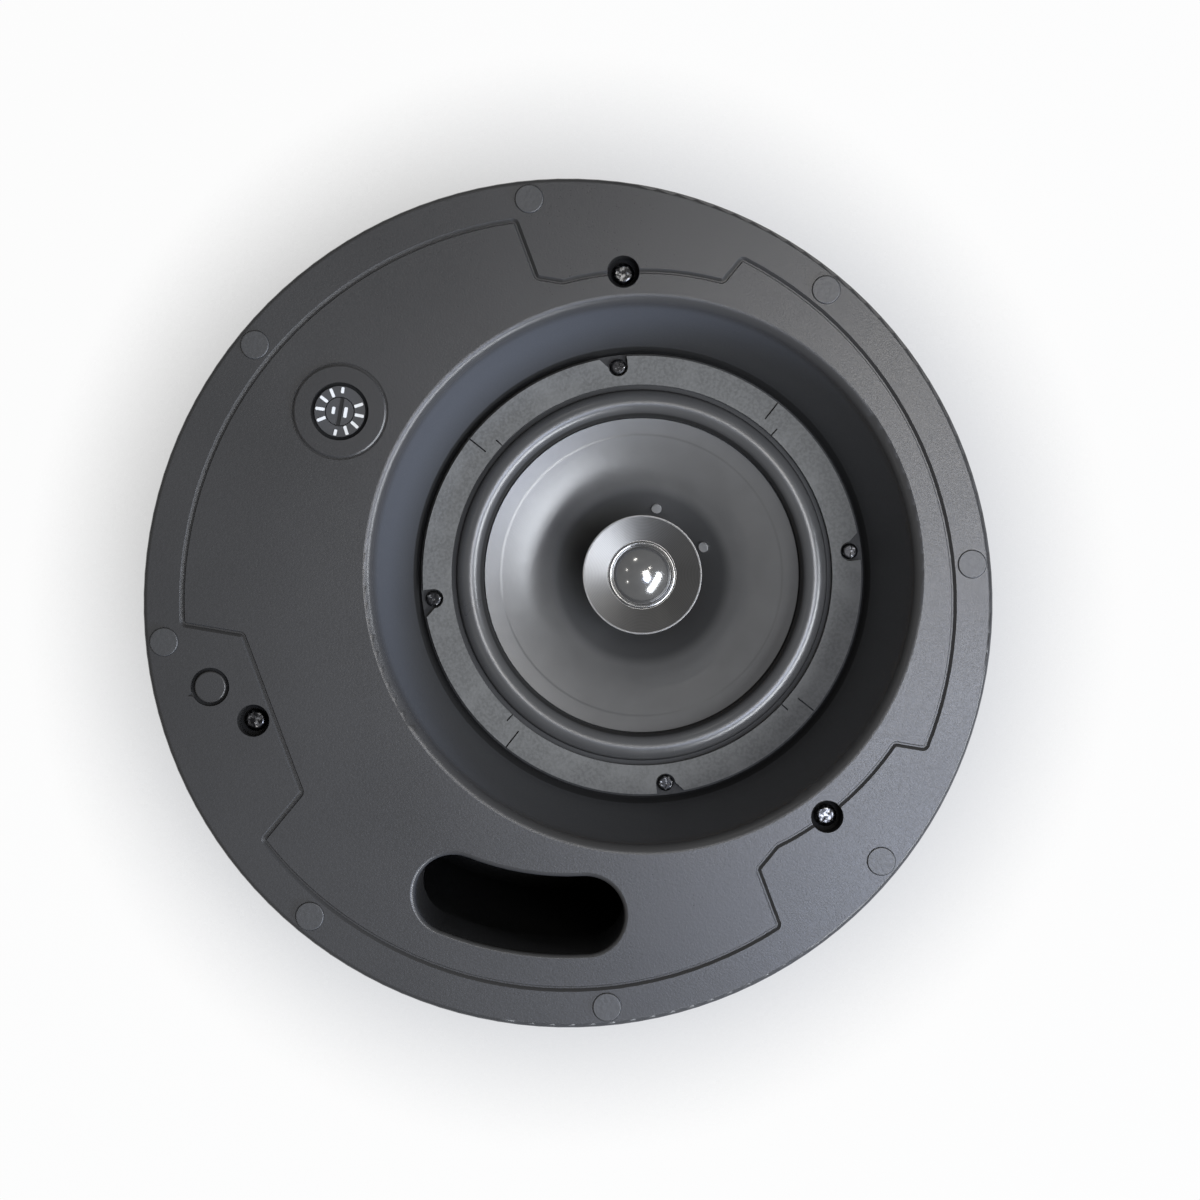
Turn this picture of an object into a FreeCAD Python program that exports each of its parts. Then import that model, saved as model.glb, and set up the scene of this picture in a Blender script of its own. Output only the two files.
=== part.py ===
import FreeCAD, Part
import math
import os

# A round ceiling speaker with a back can, lying on its back with the face up.
# The origin is the middle of the can's flat rear, and +Z points out of the face.
# Sizes are millimetres. Angles are degrees, counter-clockwise from +X as seen from the front.

Vector = FreeCAD.Vector
UP = Vector(0, 0, 1)
AXIS = Vector(0, 0, 0)

# Front baffle
FLANGE_BAND = 15.0
PANEL_THICK = 3.5
RIM_ROUND = 1.6
SKIRT_OUTSET = 17.0
SKIRT_HEIGHT = 14.5
SKIRT_WALL = 2.5

# Line engraved in the face, which follows the skirt and goes in around each clamp
GROOVE_OUTSET = 1.0
GROOVE_CHORD_OUTSET = 1.3
GROOVE_WIDTH = 2.0
GROOVE_FLOOR = 0.5
GROOVE_SHIFT = 0.4
GROOVE_DEPTH = 0.9
GROOVE_ROUND = 1.6

# Back can
CAN_DEPTH = 182.0
CAN_FLANGE_WIDTH = 7.0
CAN_TAPER = 2.5
CAN_WALL = 2.5
CAN_REAR_ROUND = 10.0
SEAL_THICK = 1.0
CAN_SCREWS = 6
CAN_SCREW_RADIUS = 1.4
CAN_SCREW_LENGTH = 12.0
CAN_HEAD_RADIUS = 2.5
CAN_HEAD_HEIGHT = 1.6
CAN_HEAD_CLEARANCE = 1.2
CAN_BOSS_RADIUS = 3.2

# Pockets in the can and skirt, one for each ceiling clamp
CLAMPS = 3
CLAMP_ANGLE = 90.0
POCKET_ARM_CLEARANCE = 1.3
POCKET_SIDE_ANGLE = 30.0
POCKET_FLOOR = 90.0
POCKET_ROUND = 4.0

# Ceiling clamps
CLAMP_RECESS_RADIUS = 5.75
CLAMP_RECESS_DEPTH = 9.0
CLAMP_BOSS_WALL = 2.2
CLAMP_BOSS_FLOOR = 3.0
CLAMP_SCREW_RADIUS = 2.4
CLAMP_SCREW_LENGTH = 70.0
CLAMP_HEAD_RADIUS = 4.0
CLAMP_HEAD_HEIGHT = 3.2
CLAMP_DRIVE_WIDTH = 1.4
CLAMP_DRIVE_LENGTH = 5.4
CLAMP_DRIVE_DEPTH = 2.0
CLAMP_COLLAR_RADIUS = 3.6
CLAMP_COLLAR_HEIGHT = 2.0
BUSH_WALL = 2.0
BUSH_LIP = 1.8
BUSH_LIP_HEIGHT = 2.0
ARM_HEIGHT = 12.0
ARM_TIP_HEIGHT = 8.0
ARM_WIDTH = 10.0
ARM_REACH = 29.0
ARM_HUB_WALL = 2.2
ARM_TOOTH_HEIGHT = 0.8
ARM_TOOTH_PITCH = 3.0
ARM_TEETH = 3
STOP_THICK = 3.0
STOP_WIDTH = 7.5

# Magnets that hold the grille
GRILLE_MAGNETS = 8
GRILLE_MAGNET_ANGLE = 15.0
GRILLE_MAGNET_INSET = 6.9
GRILLE_MAGNET_RADIUS = 5.1
GRILLE_MAGNET_ROUND = 0.4
GRILLE_MAGNET_HEIGHT = 2.5
GRILLE_MAGNET_PROUD = 0.5

# Blanking plug
PLUG_ANGLE = 202.7
PLUG_INSET = 5.6
PLUG_RECESS_RADIUS = 6.9
PLUG_RECESS_DEPTH = 2.2
PLUG_HEAD_RADIUS = 5.7
PLUG_HEAD_HEIGHT = 1.9
PLUG_HEAD_ROUND = 0.6
PLUG_STEM_RADIUS = 3.6
PLUG_STEM_LENGTH = 5.2
PLUG_BARB = 0.7
PLUG_SPOT_DEPTH = 0.6
PLUG_NOTCH_ANGLE = 212.2
PLUG_NOTCH_REACH = 8.5
PLUG_NOTCH_WIDTH = 3.0

# Power selector
SELECTOR_ANGLE = 149.5
SELECTOR_INSET = 30.6
BEZEL_RADIUS = 16.6
BEZEL_PROUD = 0.5
BEZEL_GAP = 0.9
BEZEL_GAP_DEPTH = 1.0
BEZEL_NECK_RADIUS = 14.3
BEZEL_FLOOR = 1.4
LABEL_RADIUS = 9.1
LABEL_GAP = 1.3
LABEL_THICK = 1.2
LABEL_SUNK = 0.4
SHAFT_RADIUS = 5.0
SHAFT_STEM_RADIUS = 2.7
SHAFT_STEM_LENGTH = 9.0
SHAFT_SLOT_LENGTH = 11.0
SHAFT_SLOT_WIDTH = 1.8
SHAFT_SLOT_DEPTH = 1.2
SHAFT_SLOT_ANGLE = 89.5
SWITCH_RADIUS = 13.0
SWITCH_HEIGHT = 18.0
SWITCH_TAG_SIZE = 2.4
SWITCH_TAG_LENGTH = 5.0
SWITCH_TAGS = 6

# Port
PORT_ANGLE = 270.3
PORT_CAN_CLEARANCE = 0.6
PORT_WIDTH = 28.0
PORT_HALF_SPAN = 12.35
PORT_ROUND = 1.5
DUCT_WALL = 1.2
DUCT_COLLAR = 2.5
DUCT_COLLAR_THICK = 2.0
DUCT_LENGTH = 45.0

# Well for the driver
WELL_OFFSET = 29.0
WELL_ANGLE = 30.5
WELL_DEPTH = 39.0
WELL_FLARE = 14.6
WELL_ROUND = 4.0
WELL_WALL = 1.8
WELL_CAN_CLEARANCE = 1.72
LEDGE_THICK = 4.0
CHASSIS_GAP = 0.9

# Driver basket and motor, with heights measured from the ledge of the well
CHASSIS_RADIUS = 82.5
CHASSIS_THICK = 2.0
BASKET_STEEL = 1.5
CHASSIS_RIM = 11.5
BASKET_LEDGE_CLEARANCE = 1.5
SPIDER_SHELF_RADIUS = 49.5
SPIDER_SHELF_WIDTH = 7.0
SPIDER_SHELF_DEPTH = 36.5
BASKET_DEPTH = 52.0
BASKET_BORE = 18.0
BASKET_WINDOWS = 6
BASKET_SPOKE = 20.0
BASKET_WINDOW_TOP = 9.0
BASKET_WINDOW_BOTTOM = 32.0
DRIVER_SCREWS = 4
DRIVER_SCREW_ANGLE = 16.0
DRIVER_SCREW_INSET = 4.5
DRIVER_SCREW_RADIUS = 1.7
DRIVER_SCREW_LENGTH = 11.0
DRIVER_HEAD_RADIUS = 3.0
DRIVER_HEAD_HEIGHT = 2.2
DRIVER_DRIVE_WIDTH = 1.0
DRIVER_DRIVE_LENGTH = 4.0
DRIVER_DRIVE_DEPTH = 1.3
DRIVER_BOSS_RADIUS = 4.5
DRIVER_BOSS_HEIGHT = 8.0
TOP_PLATE_RADIUS = 45.0
TOP_PLATE_THICK = 6.0
FERRITE_RADIUS = 50.0
FERRITE_BORE = 24.0
FERRITE_THICK = 17.0
YOKE_THICK = 6.0
POLE_RADIUS = 15.1
POLE_PROUD = 1.0
MAGNET_GAP = 0.7

# Gasket over the chassis rim, in four segments that lap at their ends
GASKET_SEGMENTS = 4
GASKET_ANGLE = 61.4
GASKET_OVERHANG = 0.1
GASKET_THICK = 3.0
GASKET_EDGE = 0.9
GASKET_LAP_OUTSET = 0.6
GASKET_LAP = 4.5
GASKET_CUT = 0.5
GASKET_NOTCH_RADIUS = 3.6
GASKET_NOTCH_ANGLE = 42.0

# Moving system
SURROUND_THICK = 0.8
SURROUND_RIM = 2.4
SURROUND_VALLEY = 1.8
SURROUND_ROLL_RADIUS = 5.0
SURROUND_LAND = 6.0
CONE_THICK = 0.8
CONE_EDGE_GAP = 0.6
CONE_EDGE_HEIGHT = 1.0
CONE_NECK_DEPTH = 27.0
CONE_BOW = 2.0
FORMER_RADIUS = 15.9
FORMER_WALL = 0.3
FORMER_TOP = 23.0
FORMER_LENGTH = 39.0
COIL_THICK = 0.6
COIL_HEIGHT = 14.0
SPIDER_THICK = 0.5
SPIDER_WAVES = 3
SPIDER_WAVE_HEIGHT = 1.6
EYELET_ANGLES = (86.3, 33.9)
EYELET_CIRCLE = 26.4
EYELET_RADIUS = 1.9
EYELET_HEIGHT = 0.7
EYELET_SHANK_RADIUS = 1.0

# Tweeter on its post in front of the cone
TWEETER_FACE = 13.0
TWEETER_RADIUS = 22.0
TWEETER_RIM = 0.6
TWEETER_DISH = 2.6
TWEETER_MOUTH = 12.8
TWEETER_FLANGE = 4.0
CUP_RADIUS = 19.0
CUP_HEIGHT = 15.0
CUP_FLOOR = 4.0
DOME_RADIUS = 11.1
DOME_HEIGHT = 4.5
DOME_THICK = 0.3
DOME_ROLL_RADIUS = 0.7
DOME_RIM_RADIUS = 15.5
TWEETER_GAP = 1.2
TWEETER_WASHER_THICK = 3.4
TWEETER_SLUG_RADIUS = 9.0
POST_RADIUS = 5.0
POST_SEAT_RADIUS = 10.0
POST_SEAT_THICK = 2.0
POST_NUT_ACROSS = 16.0
POST_NUT_HEIGHT = 5.0

# Terminal recess in the rear of the can
TERMINAL_X = -62.0
TERMINAL_Y = 0.0
TERMINAL_LENGTH = 60.0
TERMINAL_WIDTH = 42.0
TERMINAL_HEIGHT = 26.0
TERMINAL_WALL = 2.0
TERMINAL_FLANGE = 6.0
BLOCK_LENGTH = 44.0
BLOCK_WIDTH = 16.0
BLOCK_HEIGHT = 11.0
TERMINALS = 4
TERMINAL_SCREW_RADIUS = 2.6
TERMINAL_SCREW_HEIGHT = 2.0
TERMINAL_SCREW_DEPTH = 6.0

# Safety bracket on the flat of one pocket
BRACKET_SHIFT = 17.0
BRACKET_WIDTH = 16.0
BRACKET_STEEL = 2.0
BRACKET_REACH = 12.0
BRACKET_LEG = 14.0
BRACKET_EYE_HEIGHT = 8.0
BRACKET_HEIGHT = 12.0
BRACKET_HOLE_RADIUS = 3.5
RIVET_RADIUS = 3.0
RIVET_HEAD = 1.2

# Line transformer, of E and I laminations
TRANSFORMER_X = 40.0
TRANSFORMER_Y = -30.0
LAMINATION_UNIT = 9.0
STACK_THICK = 20.0
STRAP_STEEL = 1.2
STRAP_FOOT = 10.0

# Crossover board
BOARD_X = 30.0
BOARD_Y = 50.0
BOARD_LENGTH = 76.0
BOARD_WIDTH = 50.0
BOARD_THICK = 1.6
BOARD_HEIGHT = 8.0
SPACER_RADIUS = 3.0
SPACER_PIN_RADIUS = 1.4
SPACER_HEAD = 0.5
SPACER_INSET = 5.0
INDUCTOR_RADIUS = 15.0
INDUCTOR_BORE = 7.0
INDUCTOR_HEIGHT = 13.0
CAPACITOR_RADIUS = 6.0
CAPACITOR_LENGTH = 24.0
CAPACITORS = 2

# Clearances
FIT = 0.1
SLIDE = 0.3
HOLE = 0.4

FULL_TURN = 360.0


def polar(radius, angle, z=0.0, at=AXIS):
    """Point at a radius and an angle about the vertical line through a place."""
    turn = math.radians(angle)
    return Vector(at.x + radius * math.cos(turn), at.y + radius * math.sin(turn), z)


def spread(count, first):
    """Angles of evenly spaced copies."""
    return [first + FULL_TURN * i / count for i in range(count)]


# Heights, from the can's rear up to the face and down again into the well
RIM_Z = CAN_DEPTH
SKIRT_Z = RIM_Z + SEAL_THICK
BACK_Z = SKIRT_Z + SKIRT_HEIGHT
FACE_Z = BACK_Z + PANEL_THICK
LEDGE_Z = FACE_Z - WELL_DEPTH
FLOOR_Z = CAN_WALL
CLAMP_SEAT_Z = FACE_Z - CLAMP_RECESS_DEPTH
CLAMP_END_Z = CLAMP_SEAT_Z - CLAMP_SCREW_LENGTH
BUSH_Z = CLAMP_END_Z + CLAMP_COLLAR_HEIGHT + SLIDE
ARM_Z = BUSH_Z + BUSH_LIP_HEIGHT + SLIDE
MAGNET_SEAT_Z = FACE_Z + GRILLE_MAGNET_PROUD - GRILLE_MAGNET_HEIGHT
LABEL_Z = FACE_Z - LABEL_SUNK - LABEL_THICK
SWITCH_Z = LABEL_Z - BEZEL_FLOOR
TERMINAL_CEILING = TERMINAL_HEIGHT - TERMINAL_WALL
BOARD_Z = FLOOR_Z + BOARD_HEIGHT
BOARD_TOP = BOARD_Z + BOARD_THICK

# Radii of the driver, outwards from its motor and inwards from its chassis
PLATE_DEPTH = BASKET_DEPTH + TOP_PLATE_THICK
FERRITE_DEPTH = PLATE_DEPTH + FERRITE_THICK
YOKE_DEPTH = FERRITE_DEPTH + YOKE_THICK
CONE_NECK_RADIUS = FORMER_RADIUS + FIT
CUP_TOP = TWEETER_FACE - TWEETER_FLANGE
CUP_BOTTOM = CUP_TOP - CUP_HEIGHT
CUP_BORE = DOME_RADIUS + TWEETER_GAP
BASKET_MOUTH_RADIUS = CHASSIS_RADIUS - CHASSIS_RIM
LEDGE_BORE = BASKET_MOUTH_RADIUS + BASKET_STEEL + BASKET_LEDGE_CLEARANCE
DRIVER_SCREW_CIRCLE = CHASSIS_RADIUS - DRIVER_SCREW_INSET
SURROUND_RIM_RADIUS = BASKET_MOUTH_RADIUS + SURROUND_RIM
SURROUND_OUTER_RADIUS = BASKET_MOUTH_RADIUS - SURROUND_VALLEY
CONE_RADIUS = SURROUND_OUTER_RADIUS - 2 * SURROUND_ROLL_RADIUS - CONE_EDGE_GAP
GASKET_INNER_RADIUS = BASKET_MOUTH_RADIUS - GASKET_OVERHANG
GASKET_LAP_RADIUS = SURROUND_RIM_RADIUS + GASKET_LAP_OUTSET

# Radii of the housing, outwards from the driver: well, clamps, can, skirt and flange
CLAMP_ANGLES = spread(CLAMPS, CLAMP_ANGLE)
WELL_FLOOR_RADIUS = CHASSIS_RADIUS + CHASSIS_GAP
WELL_MOUTH_RADIUS = WELL_FLOOR_RADIUS + WELL_FLARE
WELL_AT_SKIRT = WELL_FLOOR_RADIUS + WELL_FLARE * (SKIRT_Z - LEDGE_Z) / WELL_DEPTH + WELL_WALL
WELL_TOWARDS_CLAMP = max(polar(WELL_OFFSET, WELL_ANGLE - angle).x for angle in CLAMP_ANGLES)
POCKET_CHORD = WELL_TOWARDS_CLAMP + WELL_AT_SKIRT + WELL_CAN_CLEARANCE + max(SKIRT_WALL, CAN_WALL)
BUSH_RADIUS = CLAMP_SCREW_RADIUS + SLIDE + BUSH_WALL
ARM_HUB_RADIUS = BUSH_RADIUS + SLIDE + ARM_HUB_WALL
CLAMP_CIRCLE = POCKET_CHORD + POCKET_ARM_CLEARANCE + ARM_HUB_RADIUS
POCKET_HALF_WIDTH = ARM_REACH + POCKET_ARM_CLEARANCE
SKIRT_RADIUS = CLAMP_CIRCLE + SKIRT_OUTSET
FLANGE_RADIUS = SKIRT_RADIUS + FLANGE_BAND
CAN_RADIUS = SKIRT_RADIUS - CAN_FLANGE_WIDTH
CAN_SCREW_CIRCLE = CAN_RADIUS + CAN_HEAD_RADIUS + CAN_HEAD_CLEARANCE
GRILLE_MAGNET_CIRCLE = FLANGE_RADIUS - GRILLE_MAGNET_INSET
PLUG_CIRCLE = SKIRT_RADIUS - PLUG_INSET
SELECTOR_CIRCLE = SKIRT_RADIUS - SELECTOR_INSET
PORT_CIRCLE = CAN_RADIUS - CAN_WALL - PORT_CAN_CLEARANCE - DUCT_WALL - PORT_WIDTH / 2

# Places
DRIVER_AT = polar(WELL_OFFSET, WELL_ANGLE)
SELECTOR_AT = polar(SELECTOR_CIRCLE, SELECTOR_ANGLE)
TERMINAL_PLACE = Vector(TERMINAL_X, TERMINAL_Y, 0)
TRANSFORMER_PLACE = Vector(TRANSFORMER_X, TRANSFORMER_Y, 0)
BOARD_PLACE = Vector(BOARD_X, BOARD_Y, 0)


def rounded(before, corner, after, radius):
    """A profile's corner as two steps: where its round starts, then the round's middle and end."""
    corner_at = Vector(corner[0], 0, corner[1])
    back = (Vector(before[0], 0, before[1]) - corner_at).normalize()
    ahead = (Vector(after[0], 0, after[1]) - corner_at).normalize()
    half = back.getAngle(ahead) / 2
    reach = radius / math.tan(half)
    start = corner_at + back * reach
    end = corner_at + ahead * reach
    middle = corner_at + (back + ahead).normalize() * (radius / math.sin(half) - radius)
    return (start.x, start.z), ((middle.x, middle.z), (end.x, end.z))


def outline(steps):
    """Closed wire of radius and height: a step is a line's end, or an arc's middle and end."""
    edges = []
    here = Vector(steps[0][0], 0, steps[0][1])
    for step in list(steps[1:]) + [steps[0]]:
        if isinstance(step[0], tuple):
            middle = Vector(step[0][0], 0, step[0][1])
            end = Vector(step[1][0], 0, step[1][1])
            edges.append(Part.Arc(here, middle, end).toShape())
        else:
            end = Vector(step[0], 0, step[1])
            edges.append(Part.makeLine(here, end))
        here = end
    return Part.Wire(edges)


def turned(steps, at=AXIS, start=0.0, sweep=FULL_TURN):
    """Profile turned about the vertical line through a place."""
    solid = Part.Face(outline(steps)).revolve(AXIS, UP, sweep)
    solid.rotate(AXIS, UP, start)
    solid.translate(Vector(at.x, at.y, 0))
    return solid


def ring(outer, inner, z0, z1, at=AXIS, start=0.0, sweep=FULL_TURN):
    """Flat ring, or a sector of one."""
    return turned([(inner, z0), (outer, z0), (outer, z1), (inner, z1)], at, start, sweep)


def disc(radius, z0, z1, at=AXIS):
    """Upright cylinder between two heights."""
    return Part.makeCylinder(radius, z1 - z0, Vector(at.x, at.y, z0))


def block(length, width, z0, z1, at):
    """Box centred on a place, between two heights."""
    corner = Vector(at.x - length / 2, at.y - width / 2, z0)
    return Part.makeBox(length, width, z1 - z0, corner)


def prism(points, z0, z1):
    """Upright prism on a polygon of X and Y."""
    corners = [Vector(x, y, z0) for x, y in points]
    face = Part.Face(Part.makePolygon(corners + corners[:1]))
    return face.extrude(UP * (z1 - z0))


def turn(shape, angle, at=AXIS):
    """Copy turned about the vertical line through a place."""
    copy = shape.copy()
    copy.rotate(at, UP, angle)
    return copy


def union(shapes):
    """One solid from several that meet."""
    return shapes[0].multiFuse(shapes[1:]).removeSplitter()


def minus(shape, tools):
    """A solid less several others."""
    return shape.cut(Part.makeCompound(tools)) if len(tools) > 1 else shape.cut(tools[0])


def cross(length, width, z0, z1, at):
    """Cross-shaped drive of a screw, between two heights."""
    return union([block(length, width, z0, z1, at), block(width, length, z0, z1, at)])


def vertical_edges(shape, test):
    """Straight upright edges whose middle passes a test."""
    found = []
    for edge in shape.Edges:
        middle = edge.CenterOfMass
        upright = edge.BoundBox.XLength < FIT and edge.BoundBox.YLength < FIT
        if upright and test(middle):
            found.append(edge)
    return found


def pocket(chord, half_width, grow, z0, z1, corner_round):
    """Space for a clamp, outward along +X, grown on every side of its inner end."""
    slope = math.tan(math.radians(POCKET_SIDE_ANGLE))
    lean = 1 / math.cos(math.radians(POCKET_SIDE_ANGLE))
    inner = chord - grow
    narrow = half_width + grow * (lean - slope)
    outer = FLANGE_RADIUS + chord
    wide = narrow + (outer - inner) * slope
    shape = prism([(inner, -narrow), (outer, -wide), (outer, wide), (inner, narrow)], z0, z1)
    corners = vertical_edges(shape, lambda middle: middle.x < (inner + outer) / 2)
    return shape.makeFillet(corner_round + grow, corners)


def clamp_pockets(grow, z0, z1):
    """The three clamp pockets of the can and skirt, seen with a wall of the given thickness."""
    shape = pocket(POCKET_CHORD, POCKET_HALF_WIDTH, grow, z0, z1, POCKET_ROUND)
    return [turn(shape, angle) for angle in CLAMP_ANGLES]


def lobed(radius, grow, z0, z1):
    """Disc that goes in around the clamps, brought in by a wall's thickness."""
    return minus(disc(radius - grow, z0, z1), clamp_pockets(grow, z0, z1))


# Front baffle


def well_wall_radius(z):
    """Inner radius of the well's wall at a height."""
    share = (z - LEDGE_Z) / WELL_DEPTH
    return WELL_FLOOR_RADIUS + (WELL_MOUTH_RADIUS - WELL_FLOOR_RADIUS) * share


def port_slot(grow, z0, z1):
    """Bent slot with round ends, widened on every side."""
    half = PORT_WIDTH / 2 + grow
    first = PORT_ANGLE - PORT_HALF_SPAN
    bend = ring(PORT_CIRCLE + half, PORT_CIRCLE - half, z0, z1, AXIS, first, 2 * PORT_HALF_SPAN)
    ends = [polar(PORT_CIRCLE, PORT_ANGLE + side * PORT_HALF_SPAN) for side in (-1, 1)]
    return union([bend] + [disc(half, z0, z1, end) for end in ends])


def groove_line():
    """Outline of the engraved line, on the face."""
    chord = POCKET_CHORD + GROOVE_CHORD_OUTSET
    lobe = pocket(chord, POCKET_HALF_WIDTH, 0, BACK_Z, FACE_Z, GROOVE_ROUND)
    body = disc(SKIRT_RADIUS + GROOVE_OUTSET, BACK_Z, FACE_Z)
    body = minus(body, [turn(lobe, angle) for angle in CLAMP_ANGLES])
    around_well = (polar(CLAMP_CIRCLE, CLAMP_ANGLE) - DRIVER_AT).Length
    body = union([body, disc(around_well, BACK_Z, FACE_Z, DRIVER_AT)])
    sharp = vertical_edges(body, lambda middle: True)
    body = body.makeFillet(GROOVE_ROUND, [edge for edge in sharp if len(edge.Vertexes) == 2])
    top = [face for face in body.Faces if face.BoundBox.ZMin > FACE_Z - FIT]
    return top[0].OuterWire


def groove():
    """Channel along the engraved line, with its gentle slope on the outer side."""
    line = groove_line()
    sides = []
    for side in (1, -1):
        floor = line.makeOffset2D(side * GROOVE_FLOOR / 2 - GROOVE_SHIFT)
        floor.translate(UP * -GROOVE_DEPTH)
        lip = line.makeOffset2D(side * GROOVE_WIDTH / 2)
        sides.append(Part.makeLoft([floor, lip], True, True))
    return sides[0].cut(sides[1])


def stop_fin():
    """Rib beside a clamp's path that its arm swings out against, for the clamp on +X."""
    near = ARM_WIDTH / 2 + SLIDE
    inner = CLAMP_CIRCLE + ARM_HUB_RADIUS + SLIDE
    outer = inner + STOP_WIDTH
    far = near + STOP_THICK
    return prism([(inner, -far), (outer, -far), (outer, -near), (inner, -near)], BUSH_Z, BACK_Z)


def front_baffle():
    """Flange, panel, well, skirt and clamp bosses, moulded as one."""
    rim = rounded((FLANGE_RADIUS, BACK_Z), (FLANGE_RADIUS, FACE_Z), (0, FACE_Z), RIM_ROUND)
    panel = turned([(0, BACK_Z), (FLANGE_RADIUS, BACK_Z), *rim, (0, FACE_Z)])
    skirt = lobed(SKIRT_RADIUS, 0, SKIRT_Z, BACK_Z).cut(lobed(SKIRT_RADIUS, SKIRT_WALL, SKIRT_Z, BACK_Z))
    ledge_back = LEDGE_Z - LEDGE_THICK
    funnel = turned(
        [
            (LEDGE_BORE, ledge_back),
            (well_wall_radius(ledge_back) + WELL_WALL, ledge_back),
            (well_wall_radius(BACK_Z) + WELL_WALL, BACK_Z),
            (LEDGE_BORE, BACK_Z),
        ],
        DRIVER_AT,
    )
    solid = [panel, skirt, funnel]
    for angle in spread(CAN_SCREWS, 0):
        solid.append(disc(CAN_BOSS_RADIUS, SKIRT_Z, BACK_Z, polar(CAN_SCREW_CIRCLE, angle)))
    for angle in spread(DRIVER_SCREWS, DRIVER_SCREW_ANGLE):
        at = polar(DRIVER_SCREW_CIRCLE, angle, 0, DRIVER_AT)
        solid.append(disc(DRIVER_BOSS_RADIUS, ledge_back - DRIVER_BOSS_HEIGHT, ledge_back, at))
    for angle in CLAMP_ANGLES:
        boss = CLAMP_RECESS_RADIUS + CLAMP_BOSS_WALL
        solid.append(disc(boss, CLAMP_SEAT_Z - CLAMP_BOSS_FLOOR, BACK_Z, polar(CLAMP_CIRCLE, angle)))
        solid.append(turn(stop_fin(), angle))
    body = union(solid)

    mouth = (WELL_MOUTH_RADIUS, FACE_Z)
    lip = rounded((WELL_FLOOR_RADIUS, LEDGE_Z), mouth, (FLANGE_RADIUS, FACE_Z), WELL_ROUND)
    above = FACE_Z + WELL_ROUND
    lip_end = lip[1][1][0]
    cavity = [(0, LEDGE_Z), (WELL_FLOOR_RADIUS, LEDGE_Z), *lip, (lip_end, above), (0, above)]
    cuts = [turned(cavity, DRIVER_AT)]
    cuts.append(disc(LEDGE_BORE, ledge_back, LEDGE_Z, DRIVER_AT))
    cuts.append(disc(BEZEL_NECK_RADIUS + FIT, BACK_Z, FACE_Z, SELECTOR_AT))
    gap_floor = FACE_Z - BEZEL_GAP_DEPTH
    cuts.append(ring(BEZEL_RADIUS + BEZEL_GAP, BEZEL_RADIUS, gap_floor, FACE_Z, SELECTOR_AT))
    plug_at = polar(PLUG_CIRCLE, PLUG_ANGLE)
    cuts.append(disc(PLUG_RECESS_RADIUS, FACE_Z - PLUG_RECESS_DEPTH, FACE_Z, plug_at))
    cuts.append(plug_notch())
    cuts.append(disc(PLUG_STEM_RADIUS + FIT, BACK_Z, FACE_Z, plug_at))
    cuts.append(disc(PLUG_STEM_RADIUS + PLUG_BARB + HOLE, BACK_Z, BACK_Z + PLUG_SPOT_DEPTH, plug_at))
    for angle in CLAMP_ANGLES:
        at = polar(CLAMP_CIRCLE, angle)
        cuts.append(disc(CLAMP_RECESS_RADIUS, CLAMP_SEAT_Z, FACE_Z, at))
        cuts.append(disc(CLAMP_SCREW_RADIUS + HOLE, CLAMP_SEAT_Z - CLAMP_BOSS_FLOOR, CLAMP_SEAT_Z, at))
    for angle in spread(GRILLE_MAGNETS, GRILLE_MAGNET_ANGLE):
        at = polar(GRILLE_MAGNET_CIRCLE, angle)
        cuts.append(disc(GRILLE_MAGNET_RADIUS + FIT, MAGNET_SEAT_Z, FACE_Z, at))
    for angle in spread(CAN_SCREWS, 0):
        tip = SKIRT_Z + CAN_SCREW_LENGTH
        cuts.append(disc(CAN_SCREW_RADIUS + FIT, SKIRT_Z, tip, polar(CAN_SCREW_CIRCLE, angle)))
    for angle in spread(DRIVER_SCREWS, DRIVER_SCREW_ANGLE):
        at = polar(DRIVER_SCREW_CIRCLE, angle, 0, DRIVER_AT)
        cuts.append(disc(DRIVER_SCREW_RADIUS + FIT, LEDGE_Z - DRIVER_SCREW_LENGTH, LEDGE_Z, at))
    body = minus(body, cuts).cut(port_slot(0, BACK_Z, FACE_Z))
    body = body.makeFillet(PORT_ROUND, port_lip_edges(body))
    return body.cut(groove())


def plug_notch():
    """Wedge beside the plug's recess, for the blade that lifts the plug."""
    half = PLUG_NOTCH_WIDTH / 2
    corners = [(PLUG_HEAD_RADIUS, -half), (PLUG_NOTCH_REACH, 0), (PLUG_HEAD_RADIUS, half)]
    wedge = turn(prism(corners, FACE_Z - PLUG_RECESS_DEPTH, FACE_Z), PLUG_NOTCH_ANGLE)
    wedge.translate(polar(PLUG_CIRCLE, PLUG_ANGLE))
    return wedge


def port_lip_edges(body):
    """Edges of the port on the face."""
    radii = (PORT_CIRCLE - PORT_WIDTH / 2, PORT_CIRCLE + PORT_WIDTH / 2, PORT_WIDTH / 2)
    middle = polar(PORT_CIRCLE, PORT_ANGLE, FACE_Z)
    found = []
    for edge in body.Edges:
        box = edge.BoundBox
        near = (box.Center - middle).Length < PORT_CIRCLE / 2
        flat = box.ZMin > FACE_Z - FIT
        round_edge = isinstance(edge.Curve, Part.Circle)
        if near and flat and round_edge and min(abs(edge.Curve.Radius - r) for r in radii) < FIT:
            found.append(edge)
    return found


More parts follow.
